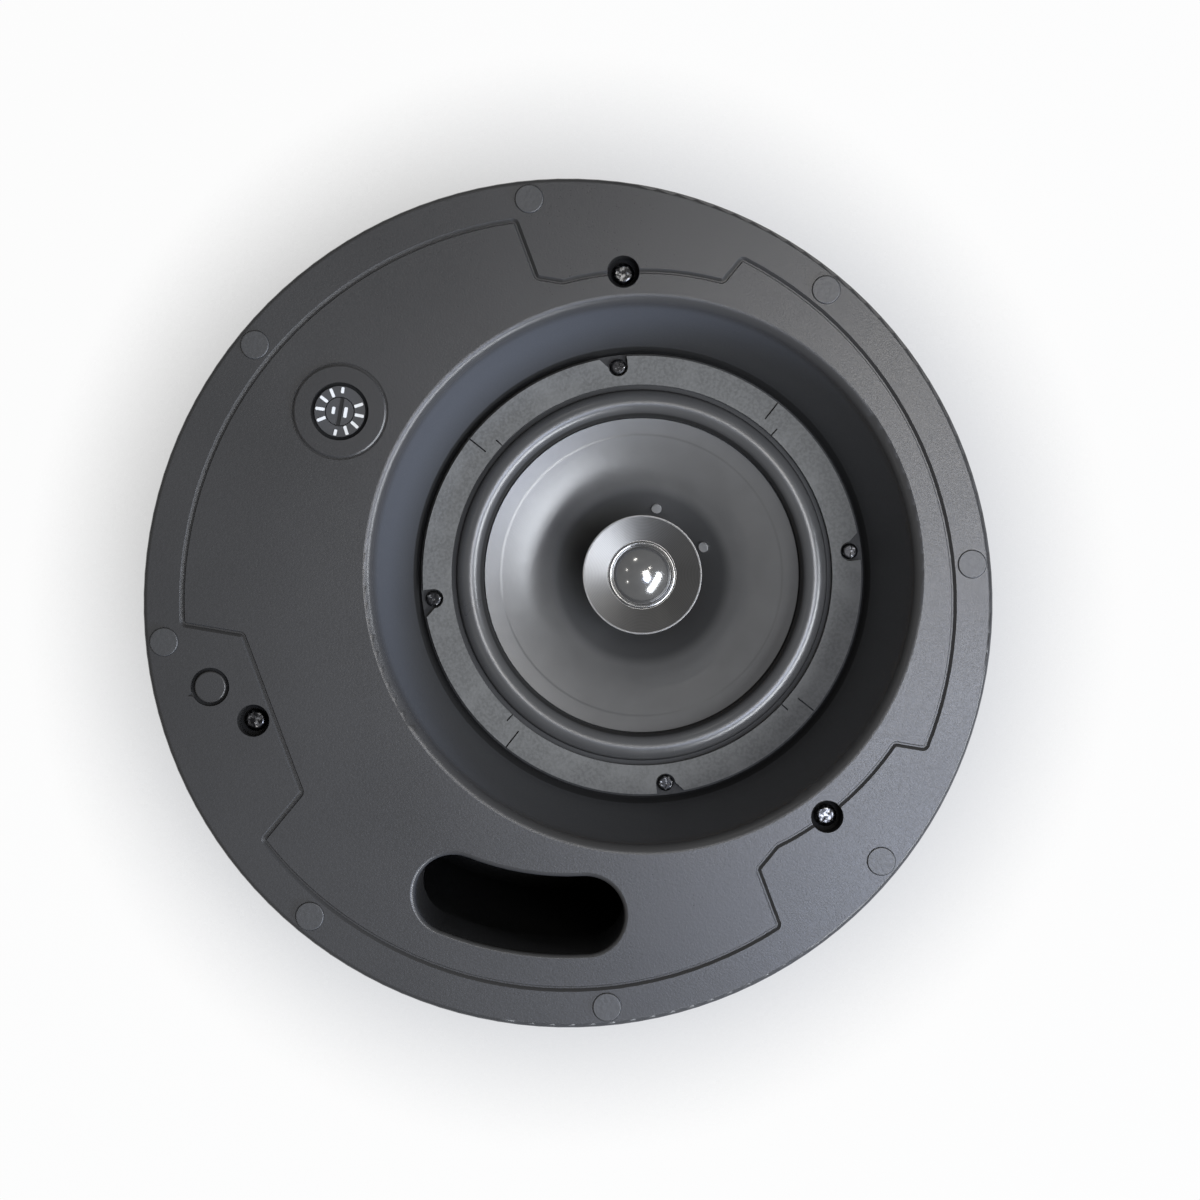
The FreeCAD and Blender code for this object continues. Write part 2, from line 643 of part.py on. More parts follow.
def grille_magnets():
    """Discs with a rounded edge, let into the flange and a little proud of it."""
    top = MAGNET_SEAT_Z + GRILLE_MAGNET_HEIGHT
    foot = (GRILLE_MAGNET_RADIUS, MAGNET_SEAT_Z)
    edge = rounded(foot, (GRILLE_MAGNET_RADIUS, top), (0, top), GRILLE_MAGNET_ROUND)
    profile = [(0, MAGNET_SEAT_Z), foot, *edge, (0, top)]
    places = [polar(GRILLE_MAGNET_CIRCLE, a) for a in spread(GRILLE_MAGNETS, GRILLE_MAGNET_ANGLE)]
    return Part.makeCompound([turned(profile, at) for at in places])


def blanking_plug():
    """Push-in cap with a barbed stem."""
    seat = FACE_Z - PLUG_RECESS_DEPTH
    top = seat + PLUG_HEAD_HEIGHT
    tip = seat - PLUG_STEM_LENGTH
    barb_top = BACK_Z + PLUG_SPOT_DEPTH - SLIDE
    under_head = (PLUG_HEAD_RADIUS, seat)
    edge = rounded(under_head, (PLUG_HEAD_RADIUS, top), (0, top), PLUG_HEAD_ROUND)
    return turned(
        [
            (0, tip),
            (PLUG_STEM_RADIUS - PLUG_BARB, tip),
            (PLUG_STEM_RADIUS + PLUG_BARB, barb_top),
            (PLUG_STEM_RADIUS, barb_top),
            (PLUG_STEM_RADIUS, seat),
            under_head,
            *edge,
            (0, top),
        ],
        polar(PLUG_CIRCLE, PLUG_ANGLE),
    )


# Power selector


def selector_bezel():
    """Ring on the face, with a neck through the panel and a floor for the label."""
    bottom = LABEL_Z - BEZEL_FLOOR
    well = LABEL_RADIUS + LABEL_GAP
    bore = SHAFT_RADIUS + SLIDE
    return turned(
        [
            (bore, bottom),
            (BEZEL_NECK_RADIUS, bottom),
            (BEZEL_NECK_RADIUS, FACE_Z),
            (BEZEL_RADIUS, FACE_Z),
            (BEZEL_RADIUS, FACE_Z + BEZEL_PROUD / 2),
            (BEZEL_RADIUS - BEZEL_PROUD, FACE_Z + BEZEL_PROUD),
            (well, FACE_Z + BEZEL_PROUD),
            (well, LABEL_Z),
            (bore, LABEL_Z),
        ],
        SELECTOR_AT,
    )


def selector_label():
    """Disc that carries the dial's marks."""
    return ring(LABEL_RADIUS, SHAFT_RADIUS + SLIDE, LABEL_Z, LABEL_Z + LABEL_THICK, SELECTOR_AT)


def selector_shaft():
    """Slotted spindle of the switch."""
    top = LABEL_Z + LABEL_THICK
    shoulder = SWITCH_Z + SLIDE
    tip = SWITCH_Z - SHAFT_STEM_LENGTH
    spindle = turned(
        [
            (0, tip),
            (SHAFT_STEM_RADIUS, tip),
            (SHAFT_STEM_RADIUS, shoulder),
            (SHAFT_RADIUS, shoulder),
            (SHAFT_RADIUS, top),
            (0, top),
        ],
        SELECTOR_AT,
    )
    slot = block(SHAFT_SLOT_LENGTH, SHAFT_SLOT_WIDTH, top - SHAFT_SLOT_DEPTH, top, SELECTOR_AT)
    return spindle.cut(turn(slot, SHAFT_SLOT_ANGLE, SELECTOR_AT))


def selector_switch():
    """Rotary switch behind the panel, with solder tags."""
    bottom = SWITCH_Z - SWITCH_HEIGHT
    bore = SHAFT_STEM_RADIUS + SLIDE
    socket = SWITCH_Z - SHAFT_STEM_LENGTH - SLIDE
    body = turned(
        [
            (0, bottom),
            (SWITCH_RADIUS, bottom),
            (SWITCH_RADIUS, SWITCH_Z),
            (bore, SWITCH_Z),
            (bore, socket),
            (0, socket),
        ],
        SELECTOR_AT,
    )
    tags = []
    for angle in spread(SWITCH_TAGS, 0):
        at = polar(SWITCH_RADIUS - SWITCH_TAG_SIZE, angle, 0, SELECTOR_AT)
        tag = block(SWITCH_TAG_SIZE / 2, SWITCH_TAG_SIZE, bottom - SWITCH_TAG_LENGTH, bottom, at)
        tags.append(turn(tag, angle, at))
    return union([body] + tags)


def port_duct():
    """Duct behind the port, with a collar against the panel."""
    collar = port_slot(DUCT_COLLAR, BACK_Z - DUCT_COLLAR_THICK, BACK_Z)
    tube = port_slot(DUCT_WALL, BACK_Z - DUCT_LENGTH, BACK_Z - DUCT_COLLAR_THICK)
    return union([collar, tube]).cut(port_slot(0, BACK_Z - DUCT_LENGTH, BACK_Z))


# Driver


def driver_z(height):
    """Level at a height above the ledge of the well."""
    return LEDGE_Z + height


def driver_turned(steps):
    """Profile turned about the driver's axis, with heights above the ledge."""
    lifted = []
    for step in steps:
        if isinstance(step[0], tuple):
            lifted.append(tuple((r, driver_z(h)) for r, h in step))
        else:
            lifted.append((step[0], driver_z(step[1])))
    return turned(lifted, DRIVER_AT)


def driver_ring(outer, inner, low, high):
    """Flat ring on the driver's axis, with heights above the ledge."""
    return ring(outer, inner, driver_z(low), driver_z(high), DRIVER_AT)


def basket():
    """Pressed frame with a flange, open spokes, a shelf for the spider and a floor for the motor."""
    shelf_in = SPIDER_SHELF_RADIUS - SPIDER_SHELF_WIDTH
    shelf_under = -SPIDER_SHELF_DEPTH - BASKET_STEEL
    frame = driver_turned(
        [
            (CHASSIS_RADIUS, 0),
            (CHASSIS_RADIUS, CHASSIS_THICK),
            (BASKET_MOUTH_RADIUS, CHASSIS_THICK),
            (SPIDER_SHELF_RADIUS, -SPIDER_SHELF_DEPTH),
            (shelf_in, -SPIDER_SHELF_DEPTH),
            (shelf_in, -BASKET_DEPTH + BASKET_STEEL),
            (BASKET_BORE, -BASKET_DEPTH + BASKET_STEEL),
            (BASKET_BORE, -BASKET_DEPTH),
            (shelf_in + BASKET_STEEL, -BASKET_DEPTH),
            (shelf_in + BASKET_STEEL, shelf_under),
            (SPIDER_SHELF_RADIUS + BASKET_STEEL, shelf_under),
            (BASKET_MOUTH_RADIUS + BASKET_STEEL, 0),
        ]
    )
    low = driver_z(-BASKET_WINDOW_BOTTOM)
    high = driver_z(-BASKET_WINDOW_TOP)
    sweep = FULL_TURN / BASKET_WINDOWS - BASKET_SPOKE
    cuts = []
    for angle in spread(BASKET_WINDOWS, BASKET_SPOKE / 2):
        cuts.append(ring(CHASSIS_RADIUS, shelf_in, low, high, DRIVER_AT, angle, sweep))
    for angle in spread(DRIVER_SCREWS, DRIVER_SCREW_ANGLE):
        at = polar(DRIVER_SCREW_CIRCLE, angle, 0, DRIVER_AT)
        cuts.append(disc(DRIVER_SCREW_RADIUS + HOLE, LEDGE_Z, driver_z(CHASSIS_THICK), at))
    return minus(frame, cuts)


def driver_screws():
    """Pan-head screws with a cross drive, through the chassis into the bosses of the well."""
    tip = driver_z(-DRIVER_SCREW_LENGTH)
    seat = driver_z(CHASSIS_THICK)
    top = seat + DRIVER_HEAD_HEIGHT
    under_head = (DRIVER_HEAD_RADIUS, seat)
    crown = rounded(under_head, (DRIVER_HEAD_RADIUS, top), (0, top), DRIVER_HEAD_HEIGHT / 2)
    shank = [(0, tip), (DRIVER_SCREW_RADIUS, tip), (DRIVER_SCREW_RADIUS, seat)]
    screws = []
    for angle in spread(DRIVER_SCREWS, DRIVER_SCREW_ANGLE):
        at = polar(DRIVER_SCREW_CIRCLE, angle, 0, DRIVER_AT)
        screw = turned([*shank, under_head, *crown, (0, top)], at)
        drive = cross(DRIVER_DRIVE_LENGTH, DRIVER_DRIVE_WIDTH, top - DRIVER_DRIVE_DEPTH, top, at)
        screws.append(screw.cut(drive))
    return Part.makeCompound(screws)


def gasket_segment(number):
    """Quarter of the gasket, with a step at each end that laps the next quarter."""
    first = GASKET_ANGLE + FULL_TURN * number / GASKET_SEGMENTS
    sweep = FULL_TURN / GASKET_SEGMENTS - math.degrees(GASKET_CUT / GASKET_LAP_RADIUS)
    seat = driver_z(CHASSIS_THICK)
    over_rim = seat + SURROUND_THICK + FIT
    top = seat + GASKET_THICK
    outer = CHASSIS_RADIUS - GASKET_EDGE
    step = SURROUND_RIM_RADIUS + FIT
    outside = ring(outer, GASKET_LAP_RADIUS, seat, top, DRIVER_AT, first, sweep)
    inside = turned(
        [
            (GASKET_INNER_RADIUS, over_rim),
            (step, over_rim),
            (step, seat),
            (GASKET_LAP_RADIUS, seat),
            (GASKET_LAP_RADIUS, top),
            (GASKET_INNER_RADIUS, top),
        ],
        DRIVER_AT,
        first - GASKET_LAP,
        sweep,
    )
    half = GASKET_NOTCH_RADIUS
    reach = 2 * DRIVER_SCREW_INSET
    wide = half + reach * math.tan(math.radians(GASKET_NOTCH_ANGLE))
    channel = prism([(0, -half), (reach, -half), (reach, wide), (0, half)], seat, top)
    notches = []
    for angle in spread(DRIVER_SCREWS, DRIVER_SCREW_ANGLE):
        at = polar(DRIVER_SCREW_CIRCLE, angle, 0, DRIVER_AT)
        notch = turn(channel, angle)
        notch.translate(at)
        notches.append(notch)
        notches.append(disc(half, seat, top, at))
    return minus(union([outside, inside]), notches)


def cone_curve():
    """Centre and radius of the arc that the front of the cone follows in section."""
    neck = Vector(CONE_NECK_RADIUS, 0, -CONE_NECK_DEPTH)
    edge = Vector(CONE_RADIUS, 0, CONE_EDGE_HEIGHT)
    half = (edge - neck).Length / 2
    radius = (half * half + CONE_BOW * CONE_BOW) / (2 * CONE_BOW)
    along = (edge - neck).normalize()
    outward = Vector(along.z, 0, -along.x)
    return (neck + edge) * 0.5 + outward * (radius - CONE_BOW), radius


def cone_point(radius, lift):
    """Point of the cone's section at a radius, lifted off its front along the normal."""
    centre, curve = cone_curve()
    reach = curve + lift
    rise = math.sqrt(reach * reach - (centre.x - radius) ** 2)
    return (radius, centre.z + rise)


def cone_band(inner, outer, low, high):
    """Profile that follows the cone between two radii and two lifts off its front."""
    middle = (inner + outer) / 2
    return [
        cone_point(inner, low),
        (cone_point(middle, low), cone_point(outer, low)),
        cone_point(outer, high),
        (cone_point(middle, high), cone_point(inner, high)),
    ]


def cone():
    """Curved paper cone, with holes for the lead eyelets."""
    shell = driver_turned(cone_band(CONE_NECK_RADIUS, CONE_RADIUS, -CONE_THICK, 0))
    bore = EYELET_SHANK_RADIUS + FIT
    return minus(shell, [eyelet_rod(angle, bore, -2 * CONE_THICK, CONE_THICK) for angle in EYELET_ANGLES])


def eyelet_rod(angle, radius, low, high):
    """Cylinder square to the cone's front at an eyelet, between two lifts off it."""
    centre = cone_curve()[0]
    height = cone_point(EYELET_CIRCLE, 0)[1]
    normal = Vector(EYELET_CIRCLE - centre.x, 0, height - centre.z).normalize()
    foot = Vector(EYELET_CIRCLE, 0, driver_z(height)) + normal * low
    rod = Part.makeCylinder(radius, high - low, foot, normal)
    rod.rotate(AXIS, UP, angle)
    rod.translate(DRIVER_AT)
    return rod


def lead_eyelets():
    """Rivets in the cone where the voice coil's leads come out."""
    solids = []
    for angle in EYELET_ANGLES:
        shank = eyelet_rod(angle, EYELET_SHANK_RADIUS, -CONE_THICK, FIT)
        head = eyelet_rod(angle, EYELET_RADIUS, FIT, EYELET_HEIGHT)
        solids.append(union([shank, head]))
    return Part.makeCompound(solids)


def surround():
    """Rubber half-roll, with one land glued on the chassis and one behind the cone's edge."""
    seat = CHASSIS_THICK
    top = seat + SURROUND_THICK
    middle = SURROUND_OUTER_RADIUS - SURROUND_ROLL_RADIUS
    outer = SURROUND_ROLL_RADIUS
    inner = SURROUND_ROLL_RADIUS - SURROUND_THICK
    land_out = middle - inner
    land_in = land_out - SURROUND_LAND
    roll_in = middle - outer
    over = -CONE_THICK - FIT
    under = over - SURROUND_THICK
    land_middle = (land_in + CONE_RADIUS) / 2
    return driver_turned(
        [
            (SURROUND_RIM_RADIUS, seat),
            (SURROUND_RIM_RADIUS, top),
            (middle + outer, top),
            ((middle, top + outer), (roll_in, top)),
            cone_point(roll_in, over),
            (cone_point(land_middle, over), cone_point(land_in, over)),
            cone_point(land_in, under),
            (cone_point(land_middle, under), cone_point(land_out, under)),
            (land_out, top),
            ((middle, top + inner), (middle + inner, top)),
            (middle + inner, seat),
        ]
    )


def voice_coil_former():
    """Thin tube that joins the coil to the neck of the cone."""
    return driver_ring(FORMER_RADIUS, FORMER_RADIUS - FORMER_WALL, -FORMER_TOP - FORMER_LENGTH, -FORMER_TOP)


def voice_coil():
    """Winding at the lower end of the former, centred on the top plate."""
    middle = -BASKET_DEPTH - TOP_PLATE_THICK / 2
    inner = FORMER_RADIUS + FIT
    return driver_ring(inner + COIL_THICK, inner, middle - COIL_HEIGHT / 2, middle + COIL_HEIGHT / 2)


def spider():
    """Corrugated disc that centres the coil, glued to the shelf of the basket."""
    inner = FORMER_RADIUS + FIT
    shelf_in = SPIDER_SHELF_RADIUS - SPIDER_SHELF_WIDTH
    edge = SPIDER_SHELF_RADIUS - SLIDE
    seat = -SPIDER_SHELF_DEPTH
    half_wave = (shelf_in - inner) / (2 * SPIDER_WAVES)
    line = [(edge, seat), (shelf_in, seat)]
    for i in range(1, 2 * SPIDER_WAVES):
        line.append((shelf_in - i * half_wave, seat + SPIDER_WAVE_HEIGHT * (i % 2)))
    line.append((inner, seat))
    lifted = [(r, z + SPIDER_THICK) for r, z in reversed(line)]
    return driver_turned(line + lifted)


def top_plate():
    """Steel ring round the coil."""
    bore = FORMER_RADIUS + FIT + COIL_THICK + MAGNET_GAP
    return driver_ring(TOP_PLATE_RADIUS, bore, -PLATE_DEPTH, -BASKET_DEPTH)


def ferrite_magnet():
    """Ring magnet between the top plate and the yoke."""
    return driver_ring(FERRITE_RADIUS, FERRITE_BORE, -FERRITE_DEPTH, -PLATE_DEPTH)


def yoke():
    """Back plate and pole in one, bored for the tweeter's post."""
    bore = POST_RADIUS + SLIDE
    pole_top = -BASKET_DEPTH + POLE_PROUD
    return driver_turned(
        [
            (bore, -YOKE_DEPTH),
            (TOP_PLATE_RADIUS, -YOKE_DEPTH),
            (TOP_PLATE_RADIUS, -FERRITE_DEPTH),
            (POLE_RADIUS, -FERRITE_DEPTH),
            (POLE_RADIUS, pole_top),
            (bore, pole_top),
        ]
    )


# Tweeter


def tweeter_post():
    """Post through the pole that carries the tweeter, with a seat at its top and an end for the nut."""
    top = CUP_BOTTOM
    return driver_turned(
        [
            (0, -YOKE_DEPTH - POST_NUT_HEIGHT),
            (POST_RADIUS, -YOKE_DEPTH - POST_NUT_HEIGHT),
            (POST_RADIUS, top - POST_SEAT_THICK),
            (POST_SEAT_RADIUS, top - POST_SEAT_THICK),
            (POST_SEAT_RADIUS, top),
            (0, top),
        ]
    )


def post_nut():
    """Hexagon nut that holds the post to the yoke."""
    low = driver_z(-YOKE_DEPTH - POST_NUT_HEIGHT)
    high = driver_z(-YOKE_DEPTH)
    corner = POST_NUT_ACROSS / (2 * math.cos(math.pi / 6))
    corners = [polar(corner, angle, 0, DRIVER_AT) for angle in spread(6, 0)]
    nut = prism([(point.x, point.y) for point in corners], low, high)
    return nut.cut(disc(POST_RADIUS + FIT, low, high, DRIVER_AT))


def tweeter_cup():
    """Steel pot of the tweeter's motor."""
    return driver_turned(
        [
            (0, CUP_BOTTOM),
            (CUP_RADIUS, CUP_BOTTOM),
            (CUP_RADIUS, CUP_TOP),
            (CUP_BORE, CUP_TOP),
            (CUP_BORE, CUP_BOTTOM + CUP_FLOOR),
            (0, CUP_BOTTOM + CUP_FLOOR),
        ]
    )


def tweeter_magnet():
    """Slug magnet on the floor of the pot."""
    low = driver_z(CUP_BOTTOM + CUP_FLOOR)
    return disc(TWEETER_SLUG_RADIUS, low, driver_z(CUP_TOP - TWEETER_WASHER_THICK), DRIVER_AT)


def tweeter_washer():
    """Pole piece on the slug."""
    radius = CUP_BORE - TWEETER_GAP
    return disc(radius, driver_z(CUP_TOP - TWEETER_WASHER_THICK), driver_z(CUP_TOP), DRIVER_AT)


def tweeter_dome():
    """Thin dome with its roll and a rim that lies on the pot."""
    sphere = (DOME_RADIUS**2 + DOME_HEIGHT**2) / (2 * DOME_HEIGHT)
    base = CUP_TOP
    top = base + DOME_THICK
    under = sphere - DOME_THICK
    centre = top + DOME_HEIGHT - sphere
    slant = math.asin(DOME_RADIUS / sphere) / 2
    outside = (sphere * math.sin(slant), centre + sphere * math.cos(slant))
    inside = (under * math.sin(slant), centre + under * math.cos(slant))
    foot = math.sqrt(under**2 - (base - centre) ** 2)
    roll_end = DOME_RADIUS + 2 * DOME_ROLL_RADIUS
    return driver_turned(
        [
            (0, centre + under),
            (inside, (foot, base)),
            (DOME_RIM_RADIUS, base),
            (DOME_RIM_RADIUS, top),
            (roll_end, top),
            ((DOME_RADIUS + DOME_ROLL_RADIUS, top + DOME_ROLL_RADIUS), (DOME_RADIUS, top)),
            (outside, (0, centre + sphere)),
        ]
    )


def tweeter_bezel():
    """Dished front ring of the tweeter, with a step under it for the dome's rim."""
    step = CUP_TOP + DOME_THICK + FIT
    edge = TWEETER_RADIUS - TWEETER_RIM
    rim = DOME_RIM_RADIUS + FIT
    return driver_turned(
        [
            (rim, CUP_TOP),
            (TWEETER_RADIUS, CUP_TOP),
            (TWEETER_RADIUS, TWEETER_FACE),
            (edge, TWEETER_FACE),
            (TWEETER_MOUTH, TWEETER_FACE - TWEETER_DISH),
            (TWEETER_MOUTH, step),
            (rim, step),
        ]
    )


# Back can and what it carries


def can_shape(grow):
    """Solid with the can's outside, brought in by a wall's thickness."""
    wide = CAN_RADIUS - grow
    narrow = CAN_RADIUS - CAN_TAPER - grow
    bottom = rounded((0, grow), (narrow, grow), (wide, RIM_Z), CAN_REAR_ROUND - grow)
    cup = turned([(0, grow), *bottom, (wide, RIM_Z), (0, RIM_Z)])
    return minus(cup, clamp_pockets(grow, POCKET_FLOOR - grow, RIM_Z))


def back_can():
    """Can with clamp pockets, a flange at its mouth and an opening for the terminals."""
    flange = lobed(SKIRT_RADIUS, 0, RIM_Z - CAN_WALL, RIM_Z)
    can = union([can_shape(0), flange]).cut(can_shape(CAN_WALL))
    opening = block(TERMINAL_LENGTH + 2 * FIT, TERMINAL_WIDTH + 2 * FIT, 0, FLOOR_Z, TERMINAL_PLACE)
    cuts = [opening]
    for angle in spread(CAN_SCREWS, 0):
        at = polar(CAN_SCREW_CIRCLE, angle)
        cuts.append(disc(CAN_SCREW_RADIUS + HOLE, RIM_Z - CAN_WALL, RIM_Z, at))
    return minus(can, cuts)


def can_seal():
    """Flat gasket between the can and the skirt."""
    seal = lobed(SKIRT_RADIUS, 0, RIM_Z, SKIRT_Z).cut(lobed(SKIRT_RADIUS, SKIRT_WALL, RIM_Z, SKIRT_Z))
    places = [polar(CAN_SCREW_CIRCLE, angle) for angle in spread(CAN_SCREWS, 0)]
    seal = union([seal] + [disc(CAN_BOSS_RADIUS, RIM_Z, SKIRT_Z, at) for at in places])
    return minus(seal, [disc(CAN_SCREW_RADIUS + HOLE, RIM_Z, SKIRT_Z, at) for at in places])


def can_screws():
    """Screws through the can's flange into the skirt."""
    seat = RIM_Z - CAN_WALL
    screws = []
    for angle in spread(CAN_SCREWS, 0):
        at = polar(CAN_SCREW_CIRCLE, angle)
        shank = disc(CAN_SCREW_RADIUS, seat, SKIRT_Z + CAN_SCREW_LENGTH, at)
        head = disc(CAN_HEAD_RADIUS, seat - CAN_HEAD_HEIGHT, seat, at)
        screws.append(union([shank, head]))
    return Part.makeCompound(screws)


def terminal_cup():
    """Recess for the terminals, open to the rear, with a flange on the can's floor."""
    box = block(TERMINAL_LENGTH, TERMINAL_WIDTH, 0, TERMINAL_HEIGHT, TERMINAL_PLACE)
    long_side = TERMINAL_LENGTH + 2 * TERMINAL_FLANGE
    short_side = TERMINAL_WIDTH + 2 * TERMINAL_FLANGE
    flange = block(long_side, short_side, FLOOR_Z, FLOOR_Z + TERMINAL_WALL, TERMINAL_PLACE)
    inside_length = TERMINAL_LENGTH - 2 * TERMINAL_WALL
    inside_width = TERMINAL_WIDTH - 2 * TERMINAL_WALL
    inside = block(inside_length, inside_width, 0, TERMINAL_CEILING, TERMINAL_PLACE)
    return union([box, flange]).cut(inside)


def terminal_places():
    """Middle of each terminal, in a row along the block."""
    pitch = BLOCK_LENGTH / TERMINALS
    first = TERMINAL_PLACE.x - BLOCK_LENGTH / 2 + pitch / 2
    return [Vector(first + i * pitch, TERMINAL_PLACE.y, 0) for i in range(TERMINALS)]


def terminal_block():
    """Block of screw terminals under the top of the recess."""
    low = TERMINAL_CEILING - BLOCK_HEIGHT
    body = block(BLOCK_LENGTH, BLOCK_WIDTH, low, TERMINAL_CEILING, TERMINAL_PLACE)
    bore = TERMINAL_SCREW_RADIUS + FIT
    holes = [disc(bore, low, low + TERMINAL_SCREW_DEPTH, at) for at in terminal_places()]
    return minus(body, holes)


def terminal_screws():
    """Screws of the terminals, at the bottom of their holes."""
    top = TERMINAL_CEILING - BLOCK_HEIGHT + TERMINAL_SCREW_DEPTH
    low = top - TERMINAL_SCREW_HEIGHT
    return Part.makeCompound([disc(TERMINAL_SCREW_RADIUS, low, top, at) for at in terminal_places()])


def safety_bracket():
    """Strap riveted to the flat of a clamp pocket, stepped out to an eye for the safety wire."""
    low = POCKET_FLOOR + BRACKET_HEIGHT
    step = low + BRACKET_LEG
    eye = step + BRACKET_EYE_HEIGHT
    fold = POCKET_CHORD + BRACKET_STEEL
    tip = POCKET_CHORD + BRACKET_REACH
    back = tip - BRACKET_STEEL
    across = -BRACKET_SHIFT
    leg = block(BRACKET_STEEL, BRACKET_WIDTH, low, step, Vector((POCKET_CHORD + fold) / 2, across, 0))
    shelf_at = Vector((POCKET_CHORD + tip) / 2, across, 0)
    shelf = block(BRACKET_REACH, BRACKET_WIDTH, step - BRACKET_STEEL, step, shelf_at)
    tab_at = Vector((back + tip) / 2, across, 0)
    tab = block(BRACKET_STEEL, BRACKET_WIDTH, step - BRACKET_STEEL, eye, tab_at)
    outwards = Vector(1, 0, 0)
    lug = Part.makeCylinder(BRACKET_WIDTH / 2, BRACKET_STEEL, Vector(back, across, eye), outwards)
    hole = Part.makeCylinder(BRACKET_HOLE_RADIUS, BRACKET_STEEL, Vector(back, across, eye), outwards)
    rivet_at = Vector(fold, across, (low + step - BRACKET_STEEL) / 2)
    rivet = Part.makeCylinder(RIVET_RADIUS, RIVET_HEAD, rivet_at, outwards)
    return turn(union([leg, shelf, tab, lug, rivet]).cut(hole), CLAMP_ANGLES[-1])


def transformer_core():
    """Stack of laminations with two windows beside the middle leg."""
    unit = LAMINATION_UNIT
    core = block(6 * unit, STACK_THICK, FLOOR_Z, FLOOR_Z + 5 * unit, TRANSFORMER_PLACE)
    windows = []
    for side in (-1, 1):
        at = TRANSFORMER_PLACE + Vector(side * 1.5 * unit, 0, 0)
        windows.append(block(unit, STACK_THICK, FLOOR_Z + unit, FLOOR_Z + 4 * unit, at))
    return minus(core, windows)


def transformer_coil():
    """Winding round the middle leg."""
    unit = LAMINATION_UNIT
    low = FLOOR_Z + unit + FIT
    high = FLOOR_Z + 4 * unit - FIT
    winding = block(4 * unit - 2 * FIT, STACK_THICK + 2 * unit, low, high, TRANSFORMER_PLACE)
    corners = vertical_edges(winding, lambda middle: True)
    winding = winding.makeFillet(unit / 2, corners)
    return winding.cut(block(2 * unit + 2 * FIT, STACK_THICK + 2 * FIT, low, high, TRANSFORMER_PLACE))


def transformer_bracket():
    """Strap over the core with a foot at each side."""
    unit = LAMINATION_UNIT
    inner_half = 3 * unit + FIT
    outer_half = inner_half + STRAP_STEEL
    foot_half = outer_half + STRAP_FOOT
    top = FLOOR_Z + 5 * unit + FIT
    hoop = block(2 * outer_half, STACK_THICK, FLOOR_Z, top + STRAP_STEEL, TRANSFORMER_PLACE)
    feet = block(2 * foot_half, STACK_THICK, FLOOR_Z, FLOOR_Z + STRAP_STEEL, TRANSFORMER_PLACE)
    return union([hoop, feet]).cut(block(2 * inner_half, STACK_THICK, FLOOR_Z, top, TRANSFORMER_PLACE))


def spacer_places():
    """Corners of the crossover board where its spacers stand."""
    half_length = BOARD_LENGTH / 2 - SPACER_INSET
    half_width = BOARD_WIDTH / 2 - SPACER_INSET
    return [BOARD_PLACE + Vector(i * half_length, j * half_width, 0) for i in (-1, 1) for j in (-1, 1)]


def crossover_board():
    """Circuit board of the crossover."""
    board = block(BOARD_LENGTH, BOARD_WIDTH, BOARD_Z, BOARD_TOP, BOARD_PLACE)
    return minus(board, [disc(SPACER_PIN_RADIUS + FIT, BOARD_Z, BOARD_TOP, at) for at in spacer_places()])


def board_spacers():
    """Snap-in spacers between the board and the can's floor."""
    spacers = []
    for at in spacer_places():
        head = SPACER_PIN_RADIUS + SPACER_HEAD
        tip = BOARD_TOP + FIT
        spacers.append(
            turned(
                [
                    (0, FLOOR_Z),
                    (SPACER_RADIUS, FLOOR_Z),
                    (SPACER_RADIUS, BOARD_Z),
                    (SPACER_PIN_RADIUS, BOARD_Z),
                    (SPACER_PIN_RADIUS, tip),
                    (head, tip),
                    (SPACER_PIN_RADIUS, tip + 2 * SPACER_HEAD),
                    (0, tip + 2 * SPACER_HEAD),
                ],
                at,
            )
        )
    return Part.makeCompound(spacers)


def inductor():
    """Air-cored coil on the board."""
    at = BOARD_PLACE + Vector(-BOARD_LENGTH / 4, 0, 0)
    return ring(INDUCTOR_RADIUS, INDUCTOR_BORE, BOARD_TOP, BOARD_TOP + INDUCTOR_HEIGHT, at)


def capacitors():
    """Capacitors that lie side by side on the board."""
    cans = []
    for i in range(CAPACITORS):
        side = (i - (CAPACITORS - 1) / 2) * (2 * CAPACITOR_RADIUS + 2 * SLIDE)
        start = BOARD_PLACE + Vector(SPACER_INSET, side, BOARD_TOP + CAPACITOR_RADIUS + FIT)
        cans.append(Part.makeCylinder(CAPACITOR_RADIUS, CAPACITOR_LENGTH, start, Vector(1, 0, 0)))
    return Part.makeCompound(cans)


# Ceiling clamps, each made on +X and turned to its place


def clamp_screw(angle):
    """Long screw with a cross drive, and a collar swaged on its end."""
    at = Vector(CLAMP_CIRCLE, 0, 0)
    top = CLAMP_SEAT_Z + CLAMP_HEAD_HEIGHT
    under_head = (CLAMP_HEAD_RADIUS, CLAMP_SEAT_Z)
    crown = rounded(under_head, (CLAMP_HEAD_RADIUS, top), (0, top), CLAMP_HEAD_HEIGHT / 2)
    screw = turned(
        [
            (0, CLAMP_END_Z),
            (CLAMP_COLLAR_RADIUS, CLAMP_END_Z),
            (CLAMP_COLLAR_RADIUS, CLAMP_END_Z + CLAMP_COLLAR_HEIGHT),
            (CLAMP_SCREW_RADIUS, CLAMP_END_Z + CLAMP_COLLAR_HEIGHT),
            (CLAMP_SCREW_RADIUS, CLAMP_SEAT_Z),
            under_head,
            *crown,
            (0, top),
        ],
        at,
    )
    drive = cross(CLAMP_DRIVE_LENGTH, CLAMP_DRIVE_WIDTH, top - CLAMP_DRIVE_DEPTH, top, at)
    return turn(screw.cut(drive), angle)


